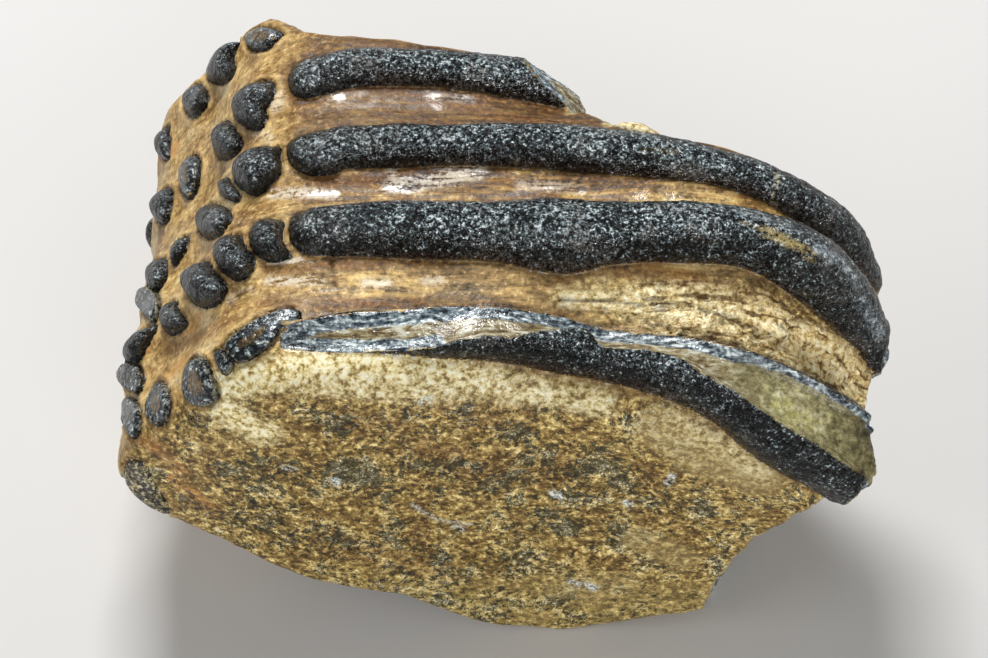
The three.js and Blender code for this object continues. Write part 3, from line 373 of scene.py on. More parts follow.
def body_terms(x, y, z):
    """The faces of the cement body: upper and tip side, front, back, chip."""
    th = np.degrees(np.arctan2(z - AXIS_Z, -x))
    side = np.hypot(x, z - AXIS_Z) - outline_radius(th) + outline_drop(th, x, y) + 0.35 * noise(x / 9, y / 9, z / 9)
    front = front_face(x, z) - y
    back = y - back_face(x, z)
    chip = 0.22 * (x - 14) - 0.59 * (y + 32) - 0.78 * z
    return th, side, front, back, chip


def body(x, y, z):
    th, side, front, back, chip = body_terms(x, y, z)
    main = smax(smax(side, front, 2.5 + 10.5 * smooth(th, -4, 40)), back, 3.0)
    # a sliver of the next plate's broken margin, behind the long bar
    sx, sy, sz = (x - 25.2) / 1.9, y - 25.4, z - 73.8 + 0.21 * (x - 25.2)
    main = smin(main, np.sqrt(sx * sx + sy * sy + sz * sz) - 2.6, 0.8)
    return smax(main, chip, 1.2)


# -- enamel: bars as chains of cones round a smooth curve, beads as ellipsoids
def resample(rows, pitch=2.2):
    r = np.asarray(rows, float)
    s = np.concatenate([[0], np.cumsum(np.linalg.norm(np.diff(r[:, :3], axis=0), axis=1))])
    m = np.empty_like(r)
    m[1:-1] = (r[2:] - r[:-2]) / (s[2:] - s[:-2])[:, None]
    m[0], m[-1] = (r[1] - r[0]) / (s[1] - s[0]), (r[-1] - r[-2]) / (s[-1] - s[-2])
    q = np.linspace(0, s[-1], max(2, int(round(s[-1] / pitch)) + 1))
    i = np.clip(np.searchsorted(s, q, side="right") - 1, 0, len(s) - 2)
    h = (s[i + 1] - s[i])[:, None]
    t = ((q - s[i]) / (s[i + 1] - s[i]))[:, None]
    return ((2 * t**3 - 3 * t**2 + 1) * r[i] + (t**3 - 2 * t**2 + t) * h * m[i]
            + (-2 * t**3 + 3 * t**2) * r[i + 1] + (t**3 - t**2) * h * m[i + 1])


# the rounded heads of the three long bars are outlines of their own, in DIGITS
CURVES = {("up", k): resample(v[1:] if k in (1, 2, 3) else v) for k, v in BARS_UP.items()}
CURVES.update({("down", k): resample(v) for k, v in BARS_DOWN.items()})
PLATES = {0: 57.0, 1: 39.5, 2: 20.0, 3: 0.5, 4: -19.0}


def near(p, lo, hi, margin):
    return np.nonzero(np.all((p > lo - margin) & (p < hi + margin), axis=1))[0]


def bar_distance(p, curve):
    best = np.full(len(p), 99.0)
    for a, b in zip(curve[:-1], curve[1:]):
        ab = b[:3] - a[:3]
        ap = p - a[:3]
        t = np.clip(ap @ ab / (ab @ ab), 0, 1)
        d = np.sqrt(((ap - t[:, None] * ab) ** 2).sum(1)) - (a[3] + t * (b[3] - a[3]))
        best = np.minimum(best, d)
    return best


def bead_distance(p, bead, flat=0.85):
    x, y, z, r, long, turn = bead
    c, s = math.cos(math.radians(turn)), math.sin(math.radians(turn))
    q = p - np.array([x, y, z])
    u = c * q[:, 0] + s * q[:, 2]
    w = -s * q[:, 0] + c * q[:, 2]
    k = np.sqrt((u / long) ** 2 + q[:, 1] ** 2 + (w / flat) ** 2)
    g = np.sqrt((u / long**2) ** 2 + q[:, 1] ** 2 + (w / flat**2) ** 2) + 1e-9
    return (k - r) * k / g, w


def rounded(outline):
    """An outline with its corners cut twice."""
    q = np.asarray(outline, float)
    for _ in range(2):
        n = np.roll(q, -1, axis=0)
        q = np.stack([0.75 * q + 0.25 * n, 0.25 * q + 0.75 * n], 1).reshape(-1, 2)
    return q


def outline_distance(a, b, q):
    """Signed distance to a closed outline, negative inside."""
    best = np.full(a.shape, 1e9)
    inside = np.zeros(a.shape, bool)
    for (ax, ay), (bx, by) in zip(q, np.roll(q, -1, axis=0)):
        ex, ey = bx - ax, by - ay
        wx, wy = a - ax, b - ay
        t = np.clip((wx * ex + wy * ey) / (ex * ex + ey * ey), 0, 1)
        best = np.minimum(best, (wx - t * ex) ** 2 + (wy - t * ey) ** 2)
        inside ^= ((ay > b) != (by > b)) & (wx < ex * wy / (ey if ey else 1e-9))
    return np.sqrt(best) * np.where(inside, -1, 1)


KNOBS = []
for name, centre, axis, outline, lift, kind in DIGITS:
    n = np.array(axis) / np.linalg.norm(axis)
    u = np.cross((0.0, 1.0, 0.0), n)
    u /= np.linalg.norm(u)
    q = rounded(outline)
    size = np.abs(q).max(0)
    ga, gb = (v.ravel() for v in np.meshgrid(np.linspace(-size[0], size[0], 40), np.linspace(-size[1], size[1], 40)))
    inner = outline_distance(ga, gb, q)
    inside = np.stack([ga, gb])[:, inner < 0]
    # how wide it is half way in, and the ellipse it fills, which shapes its dome
    KNOBS.append(dict(name=name, centre=np.array(centre), u=u, v=np.cross(n, u), outline=q, size=np.hypot(*size), lift=lift,
                      kind=kind, half=-inner.min(), middle=inside.mean(1), spread=np.linalg.inv(np.cov(inside)) / 4))


def enamel(x, y, z, over, reach=3.0):
    """Distance to the nearest bar and to the nearest digit, up to reach, and for the
    digit its number and how far inside its outline the point is.  over is the height
    over the cement."""
    p = np.stack([x, y, z], 1)
    bars = np.full(len(p), reach)
    beads = np.full(len(p), reach)
    tag = np.full(len(p), -1)
    inset = np.full(len(p), -reach)
    for key, curve in CURVES.items():
        r = curve[:, 3].max()
        i = near(p, curve[:, :3].min(0) - r, curve[:, :3].max(0) + r, reach)
        if len(i):
            bars[i] = np.minimum(bars[i], bar_distance(p[i], curve))
    for n, bead in enumerate(BEADS_DOWN):
        c, r = np.array(bead[:3]), bead[3] * bead[4]
        i = near(p, c - r, c + r, reach)
        if len(i):
            d = bead_distance(p[i], bead)[0]
            nearer = d < beads[i]
            beads[i] = np.where(nearer, d, beads[i])
            tag[i] = np.where(nearer, 100 + n, tag[i])
    for n, k in enumerate(KNOBS):
        i = near(p, k["centre"] - k["size"], k["centre"] + k["size"], min(reach, 3.0) + 1.0)
        i = i[np.abs(over[i]) < 8]
        if not len(i):
            continue
        kind = k["kind"]
        r = p[i] - k["centre"]
        a, b = r @ k["u"], r @ k["v"]
        s = outline_distance(a, b, k["outline"])
        a, b = a - k["middle"][0], b - k["middle"][1]
        m = k["spread"]
        rho = np.clip(m[0, 0] * a * a + 2 * m[0, 1] * a * b + m[1, 1] * b * b, 0, 1.4)
        w = min({0: 2.4, 2: 1.6, 3: 1.6, 5: 2.9}.get(kind, 0.6), 0.75 * k["half"])
        dome = {0: 0.42, 2: 0.25, 3: 0.30, 5: 0.22}.get(kind, 0.0)
        top = k["lift"] * (1.12 - dome * rho) + 0.22 * noise(p[i, 0] / 3.1 + 5 * n, p[i, 1] / 3.1, p[i, 2] / 3.1)
        ds, dh = s + w, over[i] - (top - w)
        d = np.hypot(np.maximum(ds, 0), np.maximum(dh, 0)) + np.minimum(np.maximum(ds, dh), 0) - w
        if kind == 5:
            bars[i] = np.minimum(bars[i], d)
            continue
        nearer = d < beads[i]
        beads[i] = np.where(nearer, d, beads[i])
        tag[i] = np.where(nearer, n, tag[i])
        inset[i] = np.where(nearer, -s, inset[i])
    return bars, beads, tag, inset


def plate_depth(x, y, z):
    """Depth below the outer enamel surface of the nearest plate, in a section."""
    best = np.full(len(x), -9.0)
    which = np.full(len(x), -1)
    for k in PLATES:
        up = CURVES.get(("up", k))
        down = CURVES.get(("down", k))
        if up is None:
            top_y = np.full(len(x), PLATES[k])
            top_z = np.full(len(x), 66.0) - 0.18 * np.maximum(-x - 30, 0)
            half = np.full(len(x), 4.4)
        else:
            top_y, top_z, half = (np.interp(x, up[:, 0], up[:, c]) for c in (1, 2, 3))
        low_z = np.interp(x, down[:, 0], down[:, 2])
        low_y = np.interp(x, down[:, 0], down[:, 1])
        f = np.clip((z - low_z) / np.maximum(top_z - low_z, 1), 0, 1)
        mid = low_y + (top_y - low_y) * f
        off = np.maximum(np.maximum(z - top_z, low_z - z), 0)
        wave = 0.5 * noise(x / 11 + 3 * k, 2.2, z / 9)
        d = np.minimum(half, 5.6) - np.hypot(y - mid + wave, off)
        nearer = d > best
        best = np.where(nearer, d, best)
        which = np.where(nearer, k, which)
    return best, which


def worn_strip(x, y):
    """Height of the worn surface of the front plate, and distance in from its
    rear and front edges."""
    y_rear, z_rear, y_front, z_front = (table(WORN, x, c) for c in (1, 2, 3, 4))
    t = np.clip((y_rear - y) / (y_rear - y_front), 0, 1)
    hollow = np.minimum(1, np.minimum(t, 1 - t) * 5)
    z = z_rear + (z_front - z_rear) * t - hollow * (0.35 + 1.4 * smooth(x, 30, 44))
    return z, y_rear - y, y - y_front


END_C, END_S = (math.cos(0.42), math.cos(-0.72)), (math.sin(0.42), math.sin(-0.72))


def end_block(x, y, z):
    """The slanting block broken off the rearmost long bar."""
    qx, qy, qz = x - 21.1, y - 51.5, z - 85.0
    (ca, cb), (sa, sb) = END_C, END_S
    ux, uy = ca * qx + sa * qy, -sa * qx + ca * qy
    vx, vz = cb * ux - sb * qz, sb * ux + cb * qz
    rough = 0.9 * noise(uy / 6, vz / 6, 8.2)
    return np.maximum(np.maximum(-vx - 20 + rough, vx - 20), np.maximum(np.abs(uy) - 15, np.abs(vz) - 20))


def chunks(x, y, z):
    """Stepped flakes of the fractured cement behind the front plate's root end."""
    where = smooth(x, 14, 30) * smooth(-np.abs(y + 12.5 + 0.06 * np.maximum(x - 40, 0)), -6.5, -3.0) * smooth(z, 38, 48)
    i = np.nonzero(where > 0.001)[0]
    out = np.zeros(len(x))
    if len(i):
        px, py, pz = x[i], y[i], z[i]
        w = 0.8 * noise(px / 2.5, py / 2.5, pz / 2.5)
        d1, d2, tag = cells(px / 4.6 + 0.3 * w, py / 3.1, pz / 4.6, 5)
        e1, e2, tag2 = cells(px / 1.9 + w, py / 1.5, pz / 1.9, 9)
        gap = -0.55 * (1 - smooth(d2 - d1, 0.02, 0.14)) - 0.22 * (1 - smooth(e2 - e1, 0.02, 0.2))
        out[i] = where[i] * (0.55 * tag + 0.18 * tag2 + gap)
    return out


def field(x, y, z, reach=3.0, parts=False):
    b0 = body(x, y, z) - chunks(x, y, z)
    bars, beads, tag, inset = enamel(x, y, z, b0, reach)
    # cement stands up in a soft rim round each digit, with a groove inside it
    rim = 0.40 * np.exp(-((beads - 1.05) / 0.55) ** 2) - 0.30 * np.exp(-(np.maximum(beads, 0) / 0.35) ** 2)
    b = b0 - rim * (beads < reach)
    grown = smin(b, np.minimum(bars, beads), 0.3)
    depth, plate = plate_depth(x, y, z)
    zw, from_rear, from_front = worn_strip(x, y)
    in_worn = np.minimum(np.minimum(from_rear + 0.4, from_front + 0.5), np.minimum(x + 36, 9.0))
    worn = np.minimum(in_worn, z - zw)
    step = 1.5 * smooth(depth, -0.5, 0.4)
    root = (x - root_break(y, z) - step + 0.4 - 1.5 * noise(5.5, y / 8, z / 9) - 0.8 * noise(2.5, y / 3.5, z / 4)
            - 0.5 * noise(x / 2.4, y / 1.9, z / 1.9))
    end = -end_block(x, y, z)
    f = np.maximum(grown, worn)
    f = smax(f, root, 0.4)
    f = np.maximum(f, end)
    f = np.maximum(f, -z)
    if not parts:
        return f
    return f, dict(b=b, bars=bars, beads=beads, tag=tag, inset=inset, depth=depth, plate=plate, worn=worn,
                   from_rear=from_rear, from_front=from_front, root=root, end=end, grown=grown)
# ------------------------------------------------------------- the fine surface
def in_chunks(fn, p, size=400000, **kw):
    return np.concatenate([fn(q[:, 0], q[:, 1], q[:, 2], **kw) for q in np.array_split(p, max(1, len(p) // size + 1))])


def sample_band(lo, hi, step):
    """Field values on a grid, exact near the surface and only signed away from it."""
    n = [int(math.ceil((h - l) / step)) + 1 for l, h in zip(lo, hi)]
    n = [((k + 3) // 4) * 4 + 1 for k in n]
    ax = [l + step * np.arange(k) for l, k in zip(lo, n)]
    g = np.stack(np.meshgrid(ax[0][::4], ax[1][::4], ax[2][::4], indexing="ij"), -1).reshape(-1, 3)
    coarse = in_chunks(field, g, reach=6.0).reshape([len(a[::4]) for a in ax])
    # spread each coarse value over its block, then evaluate only blocks near zero
    full = coarse
    for axis in range(3):
        full = np.repeat(full, 4, axis=axis)
    full = full[2 : 2 + n[0], 2 : 2 + n[1], 2 : 2 + n[2]]
    pad = [(0, n[a] - full.shape[a]) for a in range(3)]
    full = np.pad(full, pad, mode="edge").copy()
    band = np.abs(full) < 3.6 * step + 1.2
    i, j, k = np.nonzero(band)
    p = np.stack([ax[0][i], ax[1][j], ax[2][k]], 1)
    full[i, j, k] = in_chunks(field, p, reach=2.0)
    return full, ax


def surface_nets(v, ax):
    """One vertex per crossed cell, one quad per crossed edge."""
    s = v < 0
    cell = np.zeros([n - 1 for n in v.shape], np.int8)
    for a in (0, 1):
        for b in (0, 1):
            for c in (0, 1):
                cell += s[a : a + cell.shape[0], b : b + cell.shape[1], c : c + cell.shape[2]]
    active = (cell > 0) & (cell < 8)
    i, j, k = np.nonzero(active)
    index = np.full(cell.shape, -1, np.int32)
    index[i, j, k] = np.arange(len(i))
    total = np.zeros((len(i), 3))
    count = np.zeros(len(i))
    corner = {(a, b, c): v[i + a, j + b, k + c] for a in (0, 1) for b in (0, 1) for c in (0, 1)}
    for axis in range(3):
        for m in (0, 1):
            for n in (0, 1):
                lo = [m, n]
                lo.insert(axis, 0)
                hi = [m, n]
                hi.insert(axis, 1)
                a, b = corner[tuple(lo)], corner[tuple(hi)]
                cross = (a < 0) != (b < 0)
                t = np.where(cross, a / np.where(cross, a - b, 1), 0)
                at = np.array(lo, float) + 0.0
                point = np.broadcast_to(at, (len(i), 3)).copy()
                point[:, axis] += t
                total += np.where(cross[:, None], point, 0)
                count += cross
    rel = total / count[:, None]
    verts = np.stack([ax[0][i], ax[1][j], ax[2][k]], 1) + rel * (ax[0][1] - ax[0][0])
    quads = []
    for axis in range(3):
        u, w = (axis + 1) % 3, (axis + 2) % 3
        sl_a = [slice(None)] * 3
        sl_b = [slice(None)] * 3
        sl_a[axis], sl_b[axis] = slice(0, -1), slice(1, None)
        a, b = s[tuple(sl_a)], s[tuple(sl_b)]
        e = np.array(np.nonzero(a != b))
        keep = (e[u] > 0) & (e[w] > 0) & (e[u] < v.shape[u] - 1) & (e[w] < v.shape[w] - 1)
        e = e[:, keep]
        ids = []
        for du, dw in ((1, 1), (0, 1), (0, 0), (1, 0)):
            q = e.copy()
            q[u] -= du
            q[w] -= dw
            ids.append(index[q[0], q[1], q[2]])
        q = np.stack(ids, 1)
        inside = a[e[0], e[1], e[2]]
        q[~inside] = q[~inside][:, ::-1]
        quads.append(q)
    return verts, np.concatenate(quads)


def gradient(p, h=0.12, reach=3.0):
    g = np.empty_like(p)
    for a in range(3):
        d = np.zeros(3)
        d[a] = h
        g[:, a] = (in_chunks(field, p + d, reach=reach) - in_chunks(field, p - d, reach=reach)) / (2 * h)
    return g


def settle(p, step, rounds=2):
    """Moves points onto the surface, never further than they may."""
    for _ in range(rounds):
        f = in_chunks(field, p)
        g = gradient(p, 0.15)
        move = -f[:, None] * g / np.maximum((g * g).sum(1), 0.25)[:, None]
        length = np.linalg.norm(move, axis=1)
        move *= np.minimum(1, 0.5 * step / np.maximum(length, 1e-9))[:, None]
        p = p + move
    return p
# ------------------------------------------------------------- build the mesh
def manifold_nets(v, ax):
    """Surface nets; where two sheets share an edge, the thinnest corner there flips side."""
    for _ in range(8):
        p, q = surface_nets(v, ax)
        e = np.concatenate([q[:, [0, 1]], q[:, [1, 2]], q[:, [2, 3]], q[:, [3, 0]]]).astype(np.int64)
        e.sort(1)
        u, c = np.unique(e[:, 0] * len(p) + e[:, 1], return_counts=True)
        bad = u[c != 2]
        if not len(bad):
            break
        for end in (bad // len(p), bad % len(p)):
            at = np.stack([(p[end, a] - ax[a][0]) / (ax[a][1] - ax[a][0]) for a in range(3)], 1)
            cell = np.floor(at).astype(int)
            for c0 in cell:
                block = v[c0[0] : c0[0] + 2, c0[1] : c0[1] + 2, c0[2] : c0[2] + 2]
                k = np.unravel_index(np.argmin(np.abs(block)), block.shape)
                block[k] = -block[k] if block[k] != 0 else 1e-4
    return p, q


def stroke(p, points, width, soft=0.6):
    """1 along a given path on the surface, fading to 0 at its width."""
    pts = np.asarray(points, float)
    best = np.full(len(p), 99.0)
    if len(pts) == 1:
        best = np.linalg.norm(p - pts[0], axis=1)
    for a, b in zip(pts[:-1], pts[1:]):
        ab = b - a
        t = np.clip((p - a) @ ab / max(ab @ ab, 1e-9), 0, 1)
        best = np.minimum(best, np.linalg.norm(p - a - t[:, None] * ab, axis=1))
    return 1 - smooth(best, width * (1 - soft), width)


lo, hi = (np.array(c) * 1000 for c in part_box("mammoth_tooth"))
# the tables' own box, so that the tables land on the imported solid
TABLE_BOX = (np.array([-67.924, -38.258, 0.0]), np.array([71.014, 65.469, 82.324]))
SHIFT = (lo + hi) / 2 - (TABLE_BOX[0] + TABLE_BOX[1]) / 2

grid, axes = sample_band((-71, -42, -1.5), (73, 69, 85), STEP)
points, faces = manifold_nets(grid, axes)
points = settle(points, STEP, 1)
points[:, 2] = np.maximum(points[:, 2], 0.0)

mesh = bpy.data.meshes.new("mammoth_tooth_surface")
mesh.from_pydata(points.tolist(), [], faces.tolist())
mesh.update()
tooth = bpy.data.objects.new("fossil_mammoth_tooth", mesh)
bpy.context.scene.collection.objects.link(tooth)

# The resting face, the broken back and the root end carry fewer, larger faces.
grad = gradient(points, 0.6)
normal = grad / np.maximum(np.linalg.norm(grad, axis=1), 1e-6)[:, None]
away = np.maximum(smooth(-normal[:, 2], 0.35, 0.8), smooth(normal[:, 1], 0.45, 0.8) * smooth(points[:, 1], 14, 22))
away = np.maximum(away, smooth(normal[:, 0], 0.6, 0.9) * smooth(points[:, 0], 30, 36) * smooth(68 - points[:, 2], 0, 14))
group = tooth.vertex_groups.new(name="far_side")
for level in np.linspace(0.1, 1.0, 10):
    ids = np.nonzero(np.abs(away - level) <= 0.05)[0]
    if len(ids):
        group.add(ids.tolist(), float(level), "REPLACE")
limit = MAX_TRIANGLES // 1
share = min(1.0, limit / (2.0 * len(faces)))
if share < 1:
    bpy.context.view_layer.objects.active = tooth
    tooth.select_set(True)
    thin = tooth.modifiers.new("thin", "DECIMATE")
    thin.ratio = share
    thin.vertex_group = "far_side"
    thin.vertex_group_factor = 4.0
    thin.use_collapse_triangulate = True
    bpy.ops.object.modifier_apply(modifier="thin")
tooth.vertex_groups.clear()
mesh = tooth.data
count = len(mesh.vertices)
points = np.empty(count * 3)
mesh.vertices.foreach_get("co", points)
points = points.reshape(-1, 3)
points = settle(points, STEP, 1)
points[:, 2] = np.maximum(points[:, 2], 0.0)
print("mesh", count, "vertices", len(mesh.polygons), "faces")
# ------------------------------------------------- relief and surface readings
x, y, z = points.T
value, part = field(x, y, z, reach=6.0, parts=True)
grad = gradient(points, 0.35, 6.0)
normal = grad / np.maximum(np.linalg.norm(grad, axis=1), 1e-6)[:, None]
th, side, front_t, back_t, chip_t = body_terms(x, y, z)
metal = np.minimum(part["bars"], part["beads"])
skin = part["b"] - metal                        # over 0 on enamel, under 0 on cement
on_cut = np.maximum.reduce([
    smooth(part["worn"] - (part["grown"]), -0.35, 0.05),
    smooth(part["root"] - part["grown"], -0.5, 0.1),
    smooth(part["end"] - part["grown"], -0.35, 0.05),
    smooth(-z - part["grown"], -0.2, 0.0) * (z < 0.05),
])
kinds = np.array([knob["kind"] for knob in KNOBS] + [0])
tag = part["tag"]
kind = kinds[np.where((tag >= 0) & (tag < 100), tag, len(KNOBS))]
worn_top = (kind >= 1) & (kind <= 3) & (part["beads"] > -0.7)
on_flat = smooth(part["inset"], 0.1, 0.45) * worn_top * smooth(skin, -0.1, 0.3)
broken = np.maximum(smooth(part["root"] - part["grown"], -0.6, 0.1), smooth(back_t - np.maximum(side, front_t), -0.5, 0.8))
broken = np.maximum(broken, smooth(part["end"] - part["grown"], -0.35, 0.05))
# depth below the enamel's outer surface where the surface is a section
deep = np.where(metal < 0, -metal, -9.0)
slab = np.where((broken > 0.2) | (z < 0.05), part["depth"], -9.0)
slab = np.where((x > 30) & (y < -22) & (z < 42), -9.0, slab)
section = np.maximum(deep, slab)
section = np.where(on_flat > 0.3, np.where(kind == 3, 1.15, np.where(kind == 2, 1.9, 1.25)) * part["inset"], section)
is_cut = np.clip(np.maximum(np.maximum(on_cut, on_flat), broken * (part["depth"] > -3)), 0, 1)
front = smooth(-normal[:, 1], 0.35, 0.75) * (1 - is_cut)
enam = np.clip(skin, -6, 6)

# dark joints between the flakes of the fractured cement
where = smooth(x, 12, 26) * smooth(-np.abs(y + 12.5 + 0.06 * np.maximum(x - 40, 0)), -6.8, -4.0) * smooth(z, 38, 48)
i = np.nonzero(where > 0.01)[0]
gap = np.zeros(len(x))
w = 0.8 * noise(x[i] / 2.5, y[i] / 2.5, z[i] / 2.5)
d1, d2, _ = cells(x[i] / 4.6 + 0.3 * w, y[i] / 3.1, z[i] / 4.6, 5)
gap[i] = where[i] * (1 - smooth(d2 - d1, 0.02, 0.10)) * smooth(noise(x[i] / 6, y[i] / 4, z[i] / 6), -0.45, 0.1)

# -- relief, along the surface normal
grit = fbm(x / 1.5, y / 1.5, z / 1.5, 3, 3.0, 0.6)
lumps = fbm(x / 4.2, y / 4.2, z / 4.2, 2, 8.0)
coarse_right = smooth(x, -34, 0)
enamel_relief = (0.14 + 0.18 * coarse_right) * grit + 0.17 * lumps * (1 - 0.3 * coarse_right)
grooves = fbm(x / 9, y / 1.5, z / 5, 3, 21.0, 0.6)
valley_relief = 0.16 * grooves + 0.10 * fbm(x / 3, y / 3, z / 3, 2, 31.0)
front_relief = (0.20 * fbm(x / 3.2, y / 3, z / 2.2, 3, 41.0, 0.6) + 0.25 * fbm(x / 9, y / 9, z / 7, 2, 47.0))
rough = 0.55 * fbm(x / 3.4, y / 3.4, z / 3.4, 4, 61.0, 0.62) + 0.25 * (1 - np.abs(fbm(x / 2.2, y / 2.2, z / 2.2, 2, 71.0)) * 2)
on_enamel = smooth(enam, -0.15, 0.35)
relief = on_enamel * enamel_relief + (1 - on_enamel) * (front * front_relief + (1 - front) * valley_relief)
section_relief = 0.12 * grit + 0.10 * lumps
relief = relief * (1 - is_cut) + is_cut * section_relief
relief = relief * (1 - broken) + broken * rough
relief *= smooth(z, 0.0, 1.2)
points = points + normal * relief[:, None]
points[:, 2] = np.maximum(points[:, 2], 0.0)
# ------------------------------------------------------- readings for the looks
x, y, z = points.T


def marks(rows, soft=0.75):
    best = np.zeros(len(points))
    for path, width, strength in rows:
        best = np.maximum(best, strength * stroke(points, path, width, soft))
    return best


def wide(size, stretch=(1.0, 1.0, 1.0), octaves=3, seed=0.0):
    """Slow variation for the colours: mean 0.5, spread about 0.09."""
    f = fbm(*(q * s / size for q, s in zip((x, y, z), stretch)), octaves, seed, 0.6)
    return 0.5 + 0.09 * f / f.std()


warp = np.stack([fbm(x / 7, y / 7, z / 7, 2, seed) for seed in (101.0, 131.0, 161.0)], axis=1)
flows = dict(straight=points + 0.5 * warp, loose=points + 1.6 * warp)
in_worn = smooth(part["worn"] - part["grown"], -0.3, 0.05)
front_wall = np.where(part["from_front"] > -2, part["from_front"], 9) + 9 * smooth(x, -9.5, -5.5)
worn_depth = np.minimum(np.minimum(part["from_rear"] + 0.2, front_wall + 0.2), (x + 36.5) * 0.9)
section = np.where(in_worn > 0.5, worn_depth, section)
end_wall = -part["bars"]
readings = dict(
    enam=enam, section=np.clip(section, -3, 9), cut=np.maximum(is_cut, in_worn), front=front, broken=broken,
    fringe=smooth(-normal[:, 1], 0.0, 0.55) * np.exp(-((enam - 0.25) / 1.25) ** 2) * smooth(x, -36, -12) * (1 - is_cut),
    rim=np.exp(-((part["beads"] - 1.1) / 0.5) ** 2) * (enam < 0),
    groove=np.exp(-(np.maximum(-enam, 0) / 0.45) ** 2) * (enam < 0.3),
    painted_shade_by_bars=np.exp(-(np.maximum(np.minimum(part["bars"], part["beads"] + 1.2), 0) / 2.3) ** 2) * (enam < 0.1),
    blotch=wide(16.0, seed=211.0), patch=wide(4.5, octaves=4, seed=241.0), broad=wide(3.0, (0.10, 1.0, 0.16), 3, 271.0),
    faces_up=smooth(-0.10 * normal[:, 0] - 0.05 * normal[:, 1] + normal[:, 2], 0.62, 1.0),
    low_ring=(kind == 1) * 1.0, crust=(kind == 4) * 1.0,
    tipward=smooth(-x, 20, 44),
    olive=smooth(x, 34, 46) * in_worn,
    brown=marks(BROWN), dark=marks(DARK), cream=marks(CREAM), tan=marks(TAN), orange=marks(ORANGE),
    chip=marks(CHIP, 0.5), vein=marks(VEIN, 0.6), crack=marks(CRACK, 0.9), dent=marks(DENT, 0.7), blue=marks(BLUE, 0.7), gloss_and_painted_highlight=marks(GLOSS_AND_PAINTED_HIGHLIGHT, 0.8), gap=gap,
    flake=np.clip(smooth(x, 14, 30) * smooth(-np.abs(y + 12.5 + 0.06 * np.maximum(x - 40, 0)), -6.5, -3.0) * smooth(z, 38, 48), 0, 1),
)

mesh.vertices.foreach_set("co", ((points + SHIFT) * 0.001).astype(np.float32).ravel())
for name, values in readings.items():
    layer = mesh.attributes.new(name, "FLOAT", "POINT")
    layer.data.foreach_set("value", np.ascontiguousarray(values, np.float32))
for name, values in flows.items():
    layer = mesh.attributes.new(name, "FLOAT_VECTOR", "POINT")
    layer.data.foreach_set("vector", np.ascontiguousarray(values, np.float32).ravel())
mesh.polygons.foreach_set("use_smooth", np.ones(len(mesh.polygons), bool))
mesh.update()
mesh.validate()
# ---------------------------------------------------------------- the material
def rgb(r, g, b):
    """A colour named in 8-bit sRGB, as the linear colour that the shader takes."""
    f = lambda c: c / 255 / 12.92 if c / 255 <= 0.04045 else ((c / 255 + 0.055) / 1.055) ** 2.4
    return (f(r), f(g), f(b), 1.0)


